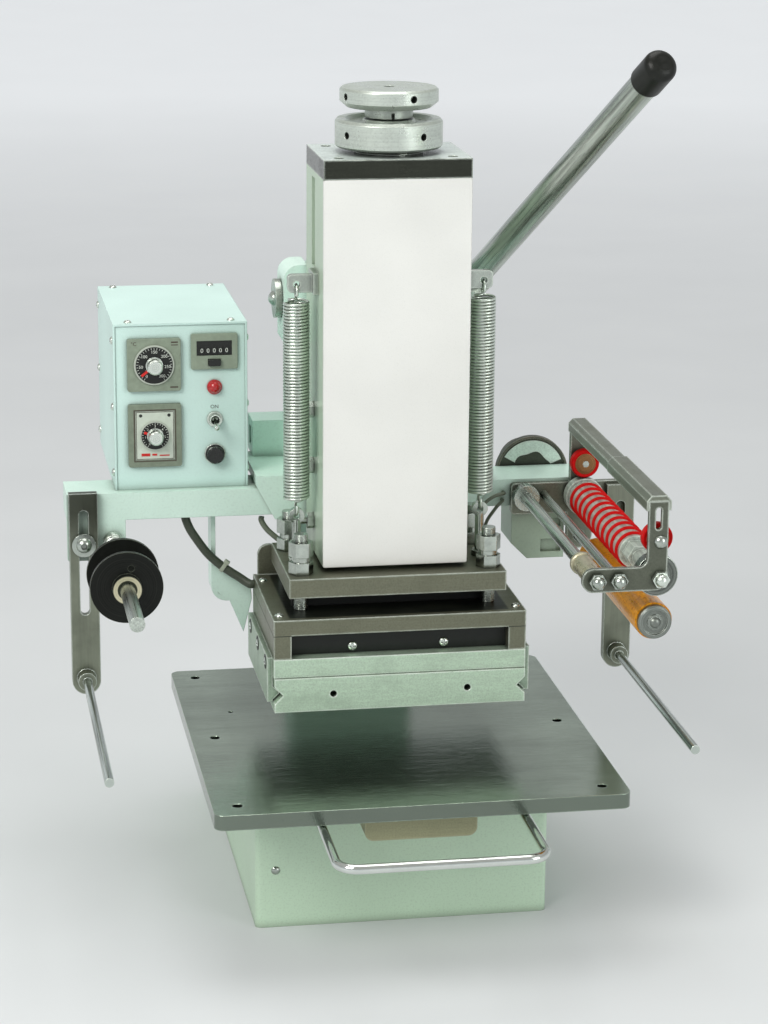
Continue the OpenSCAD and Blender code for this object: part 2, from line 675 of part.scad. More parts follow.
module tube(p, r, k, n0) polyhedron(points = skin(p, r, k, n0), faces = [for (t = tris(len(p),
    k)) [t[0], t[2], t[1]]]);

// one return spring: lower hook, coil, upper hook
hook_n = 9;
spring_pitch = (z_coil1 - z_coil0) / spring_coils;
function hook(z, s) = [for (i = [0:hook_n]) let(a = -90 + 300 * i / hook_n)
    [0, hook_r * cos(a), z + s * (hook_r + hook_r * sin(a))]];
function swan(z, s) = [for (i = [0:3]) let(a = 90 + s * 45 * i, r = spring_r * (1 - i / 4))
    [r * cos(a), r * sin(a), z + s * 3 * i / 4]];
function rev(v) = [for (i = [len(v) - 1:-1:0]) v[i]];
function coil() = [for (i = [1:8 * spring_coils - 1]) let(a = 90 + 45 * i)
    [spring_r * cos(a), spring_r * sin(a), z_coil0 + spring_pitch * i / 8]];
function spring_path() = concat(rev(hook(z_coil0 - 3, -1)), rev(swan(z_coil0, -1)), coil(),
    swan(z_coil1, 1), hook(z_coil1 + 3, 1));
function gap_near(p, lo, hi) = min([for (i = [lo:hi], j = [i + 6:1:min(i + 12,
    len(p) - 1)]) norm(p[i] - p[j])]);
echo(spring_gap = gap_near(spring_path(), 0, len(spring_path()) - 7) - 2 * wire_r);
module spring_at(x) translate([x, spring_y, 0]) tube(spring_path(), wire_r, 6, [1, 0, 0]);
module spring_left() color("silver") spring_at(-spring_x);
module spring_right() color("silver") spring_at(spring_x);

// cables: places across from the hot plate's side, heights as a share of the way up to the beam
z_plug = z_hot + hot_t / 2;
heater_way = [[-60.7, 72, 1], [-60.7, 72, 0.93], [-57, 71, 0.78], [-50.8, 70, 0.625], [-41.7, 69, 0.428],
    [-32.6, 68, 0.289], [-23.4, 66, 0.18], [-13.3, 62, 0.085], [-6, 58, 0.015], [-3, 56, 0], [0, 56, 0]];
heater_route = [for (p = heater_way) [p[0] - hot_w / 2, p[1], p[2] * (z_beam - z_plug) - z_beam + z_plug]];
z_term = z_hot1 - z_beam;
lead_y = (head_y1 + hot_y1) / 2;
lead_a = [[88, lead_y, z_term], [88, lead_y, -50], [88, lead_y - 1, -38], [88, 54, -25], [91, 51,
    -12], [98, 49, 2],
    [107, 49, 10], [115, 50, 13], [120, 53, 13], [120, beam_y, 13]];
lead_b = [[98, lead_y, z_term], [98, lead_y, -50], [99, lead_y - 1, -38], [101, 54, -25], [104, 51,
    -12], [109, 49, -3],
    [115, 50, 4], [119, 54, 6], [119, beam_y, 6]];
lead_c = [[-104, 66, -4], [-104, 66, -8], [-99, 64, -16], [-90, 61, -24], [-81, 59, -32], [-75,
    lead_y, -42],
    [-74, lead_y, -50], [-74, lead_y, z_term]];
function lift(p) = [for (q = p) [q[0], q[1], q[2] + z_beam]];
module head_cables() color("black") {
    tube(lift(heater_route), 4, 8, [1, 0, 0]);
    tube(lift(lead_a), 1.6, 8, [1, 0, 0]);
    tube(lift(lead_b), 1.6, 8, [1, 0, 0]);
    tube(lift(lead_c), 2.6, 8, [1, 0, 0]);
}

// rack teeth face the shaft; a gap of the rack meets a tooth of the sector at rest
rack_pitch = PI * gear_m;
module rack_profile() {
    translate([ram_d / 2 - 1, z_shaft - 21]) square([rack_y - gear_ded - ram_d / 2 + 1, 80]);
    for (k = [-2:6])
        translate([rack_y, z_shaft + (k + 0.5) * rack_pitch]) polygon([
            [-gear_ded - 0.1, -rack_pitch / 4 + gear_lash / 2 - gear_ded * tan(20)],
            [gear_add, -rack_pitch / 4 + gear_lash / 2 + gear_add * tan(20)],
            [gear_add, rack_pitch / 4 - gear_lash / 2 - gear_add * tan(20)],
            [-gear_ded - 0.1, rack_pitch / 4 - gear_lash / 2 + gear_ded * tan(20)]]);
}
module ram() color("lightgray") {
    block(-ram_w / 2, ram_w / 2, -ram_d / 2, ram_d / 2, z_head1, z_ram1);
    yz(-gear_w / 2, gear_w / 2) rack_profile();
}
stud_x = 84;
stud_y = [-50, 28];
module head_plate() color("dimgray") difference() {
    block(-head_w / 2, head_w / 2, head_y0, head_y1, z_head, z_head1);
    for (x = [-stud_x, stud_x], y = stud_y)
        zcyl(z_head - eps, z_head1 + eps, x, y, 6);
}
module levelling_studs() color("silver") {
    for (x = [-stud_x, stud_x], y = stud_y) {
        zcyl(z_hot1, z_head1 + 36, x, y, 6);
        for (dz = [0, 16])
            translate([x, y, z_head1 + dz]) difference() {
                hexnut(11, dz > 0 ? 13 : 11);
                translate([0, 0, -eps]) cylinder(r = 6, h = 20);
            }
        translate([x, y, z_head1 + 11]) difference() {
            cylinder(r = 8.2, h = 5);
            translate([0, 0, -eps]) cylinder(r = 6, h = 20);
        }
    }
    both() difference() {
        union() {
            zcyl(z_head1, z_eye - hook_off - 4, spring_x, spring_y, 4);
            ycyl(spring_y - tab_t / 2, spring_y + tab_t / 2, spring_x, z_eye - hook_off, 7);
            zcyl(z_head1, z_head1 + 5, spring_x, spring_y, 7);
        }
        ycyl(spring_y - tab_t, spring_y + tab_t, spring_x, z_eye - hook_off, hook_hole);
    }
}
module insulation_board() color("black")
    block(-hot_w / 2 + 22, hot_w / 2 - 22, stud_y[0] + 9, stud_y[1] - 9, z_hot1, z_hot1 + level_gap - 3);
spacer_w = 15.6;
module hot_plate() color("gray") {
    block(-hot_w / 2, hot_w / 2, hot_y0, hot_y1, z_hot, z_hot1);
    both() block(hot_w / 2 - spacer_w, hot_w / 2, hot_y0, hot_y1, z_heater, z_hot + eps);
    both() xz(hot_y1 - 3, hot_y1) {
        translate([hot_w / 2 - 24, z_hot1 - 1]) square([20, 20]);
        translate([hot_w / 2 - 14, z_hot1 + 19]) circle(10);
    }
}
module heater_block() color("black")
    block(-hot_w / 2 + spacer_w, hot_w / 2 - spacer_w, hot_y0 + 13, hot_y1 - 1, z_heater, z_hot);
module adapter_plate() color("lightgray")
    block(-hot_w / 2, hot_w / 2, hot_y0, hot_y1, z_adapter, z_heater);
groove_h = 8;
groove_in = 8;
z_groove = z_chase + chase_t / 2;
module chase_rails() color("lightgray") both() difference() {
    xz(hot_y0 + 8, hot_y1 - 3) {
        translate([hot_w / 2, z_groove - groove_h]) square([rail_t, z_heater - z_groove + groove_h]);
        polygon([[hot_w / 2 + 1, z_groove - groove_h + 0.8], [hot_w / 2 + 1, z_groove + groove_h - 0.8],
            [hot_w / 2 - groove_in + 1.4, z_groove]]);
    }
    for (y = [hot_y0 + 20, -head_mid, hot_y1 - 22])
        xcyl(hot_w / 2 + rail_t - 1, hot_w / 2 + rail_t + eps, y, z_adapter + 10, 4.6);
}
module chase_plate() color("silver") difference() {
    block(-hot_w / 2 + 2 * slide, hot_w / 2 - 2 * slide, hot_y0 - 2, hot_y1 - 1, z_chase,
        z_chase + chase_t);
    both() xz(hot_y0 - 3, hot_y1) polygon([[hot_w / 2 + 1, z_groove - groove_h - 1],
        [hot_w / 2 + 1, z_groove + groove_h + 1], [hot_w / 2 - groove_in, z_groove]]);
    for (x = [-60, 60])
        ycyl(hot_y0 - 3, hot_y0 + 18, x, z_groove, 3);
}
module head_screws() color("silver") {
    for (x = [-hot_w / 2 + 6.5, hot_w / 2 - 6.5], y = [hot_y0 + 15, hot_y1 - 22])
        translate([x, y, z_hot1]) dome(4, 2.6);
    for (s = [-1, 1], y = [hot_y0 + 20, -head_mid, hot_y1 - 22])
        on_x(s * (hot_w / 2 + rail_t - 1), y, z_adapter + 10, s) dome(4.4, 2.6);
    for (x = [-41, 41])
        translate([x, hot_y0 + 13, z_heater + 6]) rotate([90, 0, 0]) dome(4.5, 3);
}

module cross_shaft() color("silver") difference() {
    union() {
        xcyl(-col_w / 2 - lug_l - 6, col_w / 2 + lug_r + 22.5, shaft_y, z_shaft, shaft_r);
        xcyl(-col_w / 2 - lug_l - 6.5, -col_w / 2 - lug_l - 0.5, shaft_y, z_shaft, 18);
        on_x(-col_w / 2 - lug_l - 6.5, shaft_y, z_shaft, -1) dome(7, 5);
    }
    block(col_w / 2 + lug_r + 18, col_w / 2 + lug_r + 24, shaft_y - 1, shaft_y + 1, z_shaft - 12,
        z_shaft + 12);
}
tooth_a = 360 / gear_teeth;
module sector_tooth() polygon([
    [gear_r - gear_ded - 1, -rack_pitch / 4 + gear_lash / 2 - gear_ded * tan(20)],
    [gear_r - gear_ded, -rack_pitch / 4 + gear_lash / 2 - gear_ded * tan(18)],
    [gear_r, -rack_pitch / 4 + gear_lash / 2], [gear_r + gear_add,
        -rack_pitch / 4 + gear_lash / 2 + gear_add * tan(22)],
    [gear_r + gear_add, rack_pitch / 4 - gear_lash / 2 - gear_add * tan(22)], [gear_r,
        rack_pitch / 4 - gear_lash / 2],
    [gear_r - gear_ded, rack_pitch / 4 - gear_lash / 2 + gear_ded * tan(18)],
    [gear_r - gear_ded - 1, rack_pitch / 4 - gear_lash / 2 + gear_ded * tan(20)]]);
module sector_gear() color("lightgray") translate([0, shaft_y, z_shaft]) yz(-gear_w / 2,
    gear_w / 2) difference() {
    union() {
        circle(24);
        intersection() {
            circle(gear_r - gear_ded);
            polygon([[0, -12], [-90, -30], [-90, 95], [-10, 20]]);
        }
        for (k = [-2:6])
            rotate(180 - tooth_a * k) sector_tooth();
    }
    circle(shaft_r);
}
hub_x0 = col_w / 2 + lug_r + 0.5;
hub_w = 22;
hub_x = hub_x0 + 9.2;
module along_lever() translate([hub_x, shaft_y, z_shaft]) rotate([lever_lean, 0, 0]) rotate([0,
    lever_splay, 0]) children();
module lever_hub() color("darkgray") difference() {
    union() {
        xcyl(hub_x0, hub_x0 + hub_w, shaft_y, z_shaft, shaft_r + 10);
        along_lever() cylinder(r = lever_r + 4.5, h = 40);
    }
    block(-col_w, hub_x0, -500, 500, 0, 1000);
    xcyl(hub_x0 - eps, hub_x0 + hub_w + eps, shaft_y, z_shaft, shaft_r);
    along_lever() translate([0, 0, shaft_r + 4]) cylinder(r = lever_r, h = 40);
}
module lever_rod() color("silver")
    along_lever() translate([0, 0, shaft_r + 4]) cylinder(r = lever_r, h = lever_len - shaft_r - 4);
grip_l = 34;
grip_r = lever_r + grip_wall;
module lever_grip() color("black") along_lever() translate([0, 0,
    lever_len - 16]) rotate_extrude() polygon(concat(
    [[lever_r, 0], [grip_r - 1, 0], [grip_r, 1], [grip_r, grip_l - 8]],
    [for (a = [10:10:90]) [grip_r - 8 + 8 * cos(a), grip_l - 8 + 8 * sin(a)]],
    [[0, grip_l + 1], [0, 16], [lever_r, 16]]));

z_lock = z_cap1 + 4.5;
lock_h = 25;
z_wheel = z_lock + lock_h + 13.5;
module stroke_wheel() color("silver") difference() {
    rotate_extrude() polygon([[0, z_ram1 + 2], [screw_r, z_ram1 + 2], [screw_r, z_lock + lock_h + 0.5],
        [screw_r + 9, z_lock + lock_h + 0.5], [screw_r + 9, z_wheel - 4], [wheel_r - 6, z_wheel - 4],
        [wheel_r, z_wheel + 1], [wheel_r, z_wheel + 11], [wheel_r - 2, z_wheel + 13], [0, z_wheel + 13]]);
    for (a = [20, 110, 200, 290])
        rotate([0, 0, a]) xcyl(wheel_r - 12, wheel_r + eps, 0, z_wheel + 6, 3.2);
    zcyl(z_wheel + 9, z_wheel + 14, 0, 0, 5);
    block(-1.5, 1.5, -screw_r - 10, -screw_r - 2, z_lock + lock_h, z_wheel - 8);
}
module lock_wheel() color("silver") difference() {
    rotate_extrude() polygon([[screw_r + fit, z_lock], [lock_r - 2, z_lock], [lock_r, z_lock + 2],
        [lock_r, z_lock + lock_h - 3], [lock_r - 2, z_lock + lock_h - 0.5], [lock_r - 9,
            z_lock + lock_h - 0.5],
        [lock_r - 12, z_lock + lock_h - 4], [screw_r + 12, z_lock + lock_h - 4],
        [screw_r + 10, z_lock + lock_h - 1], [screw_r + fit, z_lock + lock_h - 1]]);
    for (a = [30:90:300])
        rotate([0, 0, a]) xcyl(lock_r - 10, lock_r + eps, 0, z_lock + lock_h / 2, 3.2);
    for (a = [20, 200])
        rotate([0, 0, a]) zcyl(z_lock + lock_h - 12, z_lock + lock_h, lock_r - 17, 0, 2.2);
}

hole_x = table_w / 2 - 21.5;
hole_y = table_d / 2 - 22;
pin_x = base_w / 2 + 4;
module table_plate() color("gray") difference() {
    xy(z_table0, z_table) rrect(-table_w / 2, table_w / 2, table_front, table_back, 9);
    for (x = [-hole_x, hole_x], y = [-hole_y, 0, hole_y])
        zcyl(z_table0 - eps, z_table + eps, x, y - table_shift, 4.5);
    for (x = [-pin_x, pin_x])
        zcyl(z_table0 - eps, z_table + eps, x, 47, 2.5);
}
module slide_key() color("saddlebrown") xz(table_front + 22, table_back - 7) difference() {
    rrect(-key_w / 2, key_w / 2, z_table0 - key_d, z_table0 + 8, 8);
    translate([-key_w, z_table0]) square([2 * key_w, 20]);
}
handle_bend = 18;
z_handle = z_table0 - handle_r - 1;
handle_y = table_front - handle_reach;
arm_y = min(table_front + 78, -base_front - 10);
module table_handle() color("silver") {
    both() {
        ycyl(handle_y + handle_bend, arm_y, handle_w / 2, z_handle, handle_r);
        translate([handle_w / 2 - handle_bend, handle_y + handle_bend, z_handle]) rotate([0, 0, 270])
            rotate_extrude(angle = 90) translate([handle_bend, 0]) circle(handle_r);
        block(handle_w / 2 - 9, handle_w / 2 + 9, arm_y - 20, arm_y - 1, z_handle - handle_r - 2, z_table0);
    }
    xcyl(-handle_w / 2 + handle_bend, handle_w / 2 - handle_bend, handle_y, z_handle, handle_r);
}

reel_y = beam_y - 104;
disc_t = 4;
hub_r = 12.5;
module foil_reel() color("black") difference() {
    union() {
        ycyl(reel_y - reel_gap - disc_t - 12, reel_y + 8, reel_x, z_reel, hub_r);
        ycyl(reel_y - disc_t, reel_y, reel_x, z_reel, reel_r);
        ycyl(reel_y - reel_gap - 2 * disc_t, reel_y - reel_gap - disc_t, reel_x, z_reel, reel_r);
    }
    ycyl(reel_y - reel_gap - 40, reel_y + 40, reel_x, z_reel, reel_shaft_r + fit);
    ycyl(reel_y - reel_gap - 3 * disc_t, reel_y - reel_gap, reel_x + 4, z_reel + hub_r + 4.5, 2.8);
}

ring_y0 = far_y0 - 25;
ring_step = 166 / (ring_n - 1);
core_y0 = ring_y0 - ring_step * (ring_n - 1) - 7;
module feed_roller() color("lightgray") {
    difference() {
        ycyl(core_y0, far_y0 - 15, roller_x, z_roller, core_r);
        for (k = [0:ring_n - 1])
            yturn(roller_x, ring_y0 - ring_step * k + ring_r, z_roller)
                translate([ring_seat, 0]) square([5, 2 * ring_r]);
    }
    ycyl(far_y0 - 15, far_y0 - 4, roller_x, z_roller, wheel2_r - 0.3);
    translate([roller_x, core_y0, z_roller]) rotate([90, 0, 0]) hexnut(core_r - 3, 17);
    ycyl(near_y1 + 16, core_y0 - 17, roller_x, z_roller, 7);
    ycyl(near_y1 + 5, near_y1 + 16, roller_x, z_roller, wheel2_r);
    ycyl(near_y0 - 8, near_y1 + 5, roller_x, z_roller, axle_r);
    ycyl(far_y0 - 4, beam_y - 0.4, roller_x, z_roller, axle_r);
    acorn(roller_x, near_y0 - 0.5, z_roller, 0.1);
}
module roller_rings() color("red") for (k = [0:ring_n - 1])
    yturn(roller_x, ring_y0 - ring_step * k + ring_r, z_roller) intersection() {
        translate([ring_seat + ring_r - 0.4, ring_r]) circle(ring_r);
        translate([ring_seat, 0]) square([6, 2 * ring_r]);
    }
module pinch(y0) yturn(roller_x, y0 + 10, z_pinch) polygon([[3 + fit, 0], [6, 0], [6, 0.5],
    [pinch_r - 3.5, 1],
    [pinch_r - 1, 0.5], [pinch_r, 2], [pinch_r, 8], [pinch_r - 1, 9.5], [pinch_r - 3.5, 9], [6, 9.5],
        [6, 10], [3 + fit, 10]]);
module pinch_far() color("red") pinch(far_y0 - 14.5);
module pinch_near() color("red") pinch(near_y1 + 5.5);

rewind_y0 = near_y1 + 8;
module rewind_arbor() color("gray") {
    ycyl(rewind_y0 - 6, beam_y, rewind_x, z_rewind, axle_r);
    yturn(rewind_x, rewind_y0, z_rewind) polygon([[axle_r, 0], [rewind_r - 1.5, 0], [rewind_r - 1.5, 5],
        [rewind_r - 3, 6], [rewind_r - 5, 6], [rewind_r - 5.5, 4.5], [axle_r + 2, 4.5],
            [axle_r + 1.5, 6], [axle_r, 6]]);
    translate([rewind_x, rewind_y0 - 6, z_rewind]) rotate([90, 0, 0]) dome(5, 3);
}
module rewind_core() color("orange") difference() {
    ycyl(rewind_y0, rewind_y0 + rewind_len, rewind_x, z_rewind, rewind_r);
    ycyl(rewind_y0 - eps, rewind_y0 + rewind_len + eps, rewind_x, z_rewind, axle_r);
}

module dial(z, r, k, a) {
    yturn(dial_x, panel_y - 4, z) polygon([[0, -10], [3, -10], [3, scale_t + 0.3], [k + 1, scale_t + 0.3],
        [k + 1, scale_t + 1.5], [k, scale_t + 1.7], [k, 12], [k - 1, 13], [0, 13]]);
    translate([dial_x, panel_y - 4 - scale_t - 1.4, z]) rotate([0, -a, 0])
        block(k - 1, r - 3, 0, 1.1, -1.1, 1.1);
}
module temp_dial() color("silver") dial(z_dial1, scale1_r, 6.8, 219);
module timer_dial() color("silver") dial(z_dial2, scale2_r, 6.5, 160);
toggle_a = 14;
module toggle_lever() color("silver") translate([knob_x, panel_y - 1, z_toggle]) {
    xcyl(-2.4, 2.4, 0, 0, 2.6);
    xcyl(-3.9, 3.9, 0, 0, 1);
    rotate([toggle_a + 90, 0, 0])
        rotate_extrude() polygon([[0, 0], [1.6, 0], [1.6, 3], [1.7, 9], [2.6, 17], [2.2, 19], [0, 20]]);
}
module reset_button() color("black")
    xz(panel_y - 6, panel_y + 3) rrect(knob_x - 5.5, knob_x + 5.5, z_counter - key_z - 3,
        z_counter - key_z + 3, 1);

base_casting();
frame_column();
head_casing();
front_cover();
cap_plate();
gib_set();
spring_tabs();
cross_beam();
box_cover();
box_chassis();
temp_controller();
timer_unit();
counter_unit();
pilot_lamp();
panel_fittings();
reel_shaft();
far_plate();
near_plate();
tie_rods();
frame_bolts();
box_screws();
cover_bar();
feed_housing();
feed_motor();
spring_left();
spring_right();
head_cables();
ram();
head_plate();
levelling_studs();
insulation_board();
hot_plate();
heater_block();
adapter_plate();
chase_rails();
head_screws();
chase_plate();
cross_shaft();
sector_gear();
lever_hub();
lever_rod();
lever_grip();
stroke_wheel();
lock_wheel();
table_plate();
slide_key();
table_handle();
left_guide();
right_guide();
foil_reel();
feed_roller();
roller_rings();
pinch_far();
pinch_near();
rewind_arbor();
rewind_core();
temp_dial();
timer_dial();
toggle_lever();
reset_button();
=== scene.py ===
"""Looks of a bench hot foil stamping press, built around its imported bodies.

The CAD nodes get procedural finishes. The pieces that CAD only stands in for are made here: the wound
springs, the cables, the rubber rings, the dial marks, the counter wheels, the screw heads and the threads.
Lengths are in metres, in the frame of the CAD model.
"""
import math
from functools import cache, partial

import bmesh
import bpy
import numpy as np
from mathutils import Matrix, Vector


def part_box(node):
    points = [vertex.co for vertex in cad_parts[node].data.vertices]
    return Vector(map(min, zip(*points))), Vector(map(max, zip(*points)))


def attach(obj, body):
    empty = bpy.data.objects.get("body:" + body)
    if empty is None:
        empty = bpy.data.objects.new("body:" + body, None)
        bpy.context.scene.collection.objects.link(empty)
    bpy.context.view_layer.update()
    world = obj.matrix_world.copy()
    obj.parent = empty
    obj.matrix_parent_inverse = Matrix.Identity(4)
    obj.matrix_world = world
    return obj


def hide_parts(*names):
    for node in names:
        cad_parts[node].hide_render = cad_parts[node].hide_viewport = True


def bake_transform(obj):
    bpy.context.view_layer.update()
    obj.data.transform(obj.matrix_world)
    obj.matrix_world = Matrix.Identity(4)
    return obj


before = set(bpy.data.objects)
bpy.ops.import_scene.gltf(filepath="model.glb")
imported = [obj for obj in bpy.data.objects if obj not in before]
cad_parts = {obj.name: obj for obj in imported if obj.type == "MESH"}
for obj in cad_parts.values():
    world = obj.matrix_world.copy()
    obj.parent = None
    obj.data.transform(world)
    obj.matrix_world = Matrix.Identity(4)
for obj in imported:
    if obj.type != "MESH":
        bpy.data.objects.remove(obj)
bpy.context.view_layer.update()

bl_info = {
    "name": "Foil press looks",
    "version": (1, 0, 0),
    "blender": (4, 5, 0),
    "location": "View3D > Sidebar > Foil Press",
    "description": "Finishes and fine pieces of a hot foil stamping press",
    "category": "Object",
}

MM = 0.001
FRAME_BODY = "press_frame"
RAM_BODY = "ram_unit"
IMAGE_HEIGHT = 1024
BAR_THICKNESS = 0.0078
COLLAR_REACH, FLANGE_REACH = 0.0162, 0.0165
SCALE_THICKNESS = 0.0015
SCALE_RIM = 0.0013
TEMP_SCALE = 0.018
TIMER_SCALE = 0.0137
DIAL_START, DIAL_SWEEP = 235, 290
MOTOR_X, MOTOR_Z = 0.1585, 0.3547
TIE_X, ROLLER_Z = 0.139, 0.3474
UP, LEFT, RIGHT, FRONT, BACK = (0, 0, 1), (-1, 0, 0), (1, 0, 0), (0, -1, 0), (0, 1, 0)
# Colour of the grime and painted shade in inner corners.
CORNER_GRIME_AND_SHADE = (0.016, 0.018, 0.012)


def middle(node):
    """Centre of a CAD node's box."""
    low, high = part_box(node)
    return (low + high) / 2


def tint(name, description, default):
    """A colour that the user may change."""
    return bpy.props.FloatVectorProperty(name=name, description=description, subtype="COLOR", size=3, min=0, max=1,
                                         default=default)


def length(name, description, default, low, high):
    """A length that the user may change."""
    return bpy.props.FloatProperty(name=name, description=description, default=default, min=low, max=high,
                                   unit="LENGTH", precision=5)


def angle(name, description, degrees):
    """An angle that the user may change."""
    return bpy.props.FloatProperty(name=name, description=description, subtype="ANGLE",
                                   default=math.radians(degrees))


class PressColours(bpy.types.PropertyGroup):
    """Colours of the press, as linear values."""

    casting: tint("Frame paint", "Pale mint enamel of the beam and the column", (0.68, 0.87, 0.78))
    # Painted shade: the head casing and the feed housing get a darker copy of the frame paint.
    casing: tint("Casing paint", "Older enamel of the head casing", (0.46, 0.58, 0.45))
    # Partly painted shade: the base gets a darker copy of the frame paint, standing in for the shade of the table
    # above it; its grain is its own.
    base: tint("Base paint", "Grained enamel of the base", (0.56, 0.73, 0.56))
    cover: tint("Front cover", "White enamel of the bare front cover", (0.80, 0.80, 0.775))
    box: tint("Control box", "Fine powder coat of the control box", (0.64, 0.85, 0.80))
    plate: tint("Ground plate", "Light ground metal of the chase and its plates", (0.52, 0.66, 0.52))
    dark: tint("Dark plate", "Darkened steel of the head plate and the hot plate", (0.19, 0.195, 0.14))
    side: tint("Side plate", "Darkened steel of the feed unit's plates and bars", (0.19, 0.205, 0.16))
    table: tint("Table", "Worn ground steel of the table", (0.39, 0.46, 0.385))
    bright: tint("Bright steel", "Rods, studs, nuts and screws", (0.70, 0.76, 0.69))
    ring: tint("Red rubber", "Rings of the feed roller and tyres of the pinch wheels", (0.52, 0.006, 0.006))
    roll: tint("Rewind tube", "Amber tube on the rewind arbor", (0.86, 0.36, 0.012))


class PressSizes(bpy.types.PropertyGroup):
    """Sizes of the pieces that are made here."""

    spring_coils: bpy.props.IntProperty(
        name="Spring coils", description="Coils of one return spring", default=62, min=30, max=80)
    spring_wire: length("Spring wire", "Radius of the spring wire", 0.00128, 0.0008, 0.0016)
    spring_radius: length("Spring radius", "Mean radius of a return spring", 0.0105, 0.008, 0.012)
    hook_radius: length("Hook radius", "Radius of a spring's end loop", 0.006, 0.004, 0.008)
    cable_radius: length("Heater cable", "Radius of the heater cable", 0.004, 0.002, 0.006)
    lead_radius: length("Sensor lead", "Radius of a sensor lead", 0.0016, 0.001, 0.003)
    ground_radius: length("Ground lead", "Radius of the lead on the left", 0.0026, 0.001, 0.004)
    ring_radius: length("Roller ring", "Radius of a rubber ring's cross section", 0.0020, 0.001, 0.003)
    screw_radius: length("Panel screw", "Radius of a dome screw's head", 0.0036, 0.002, 0.006)
    figure_height: length("Figures", "Height of the figures on the temperature scale", 0.0028, 0.002, 0.004)
    thread_pitch: length("Thread pitch", "Pitch of the levelling studs' thread", 0.00125, 0.0008, 0.002)


class PressStage(bpy.types.PropertyGroup):
    """Camera and light."""

    camera_place: bpy.props.FloatVectorProperty(
        name="Camera place", description="Where the camera stands", subtype="TRANSLATION", size=3,
        default=(-0.41728, -2.39176, 1.01588))
    camera_yaw: angle("Yaw", "Turn of the view to the operator's right", 9.8606)
    camera_pitch: angle("Pitch", "Tilt of the view downward", 15.3162)
    camera_roll: angle("Roll", "Tilt of the picture", 0.4544)
    focal_pixels: bpy.props.FloatProperty(
        name="Focal length", description="Focal length in pixels of the picture", default=2801.5, min=500)
    lamp_power: bpy.props.FloatProperty(
        name="Lamp power", description="Power of the main lamp", default=64.0, min=0, unit="POWER")
    sky: bpy.props.FloatProperty(
        name="Sky", description="Strength of the plain light from all round", default=0.52, min=0, max=2)


class Graph:
    """Node tree of a material, of the sky or of a geometry, with one call for each kind of node."""

    def __init__(self, tree):
        self.nodes, self.links = tree.nodes, tree.links

    def feed(self, socket, value):
        """Links a socket to another, or gives it a constant."""
        if isinstance(value, bpy.types.NodeSocket):
            self.links.new(value, socket)
        elif socket.type == "RGBA":
            socket.default_value = (*value[:3], 1.0)
        else:
            socket.default_value = value

    def node(self, kind, inputs=(), **settings):
        made = self.nodes.new(kind)
        for key, value in settings.items():
            setattr(made, key, value)
        for key, value in dict(inputs).items():
            self.feed(made.inputs[key], value)
        return made

    def part(self, vector, axis):
        """One coordinate of a vector."""
        return self.node("ShaderNodeSeparateXYZ", {"Vector": vector}).outputs[axis]

    def ramp(self, value, low, high, bottom=0.0, top=1.0):
        """Maps low..high to bottom..top, held at both ends."""
        return self.node("ShaderNodeMapRange", {
            "Value": value, "From Min": low, "From Max": high, "To Min": bottom, "To Max": top},
            clamp=True).outputs["Result"]

    def blend(self, share, one, other):
        """Mixes two colours."""
        return self.node("ShaderNodeMix", {0: share, 6: one, 7: other}, data_type="RGBA",
                         clamp_factor=True).outputs[2]

    def maths(self, operation, one, other=0.0):
        return self.node("ShaderNodeMath", {0: one, 1: other}, operation=operation).outputs[0]

    def product(self, one, other):
        return self.maths("MULTIPLY", one, other)

    def seen(self):
        """1 for the rays that show a thing to the camera, in a mirror or through glass."""
        rays = self.node("ShaderNodeLightPath").outputs
        direct = self.maths("ADD", rays["Is Camera Ray"], rays["Is Glossy Ray"])
        return self.maths("ADD", direct, rays["Is Transmission Ray"])


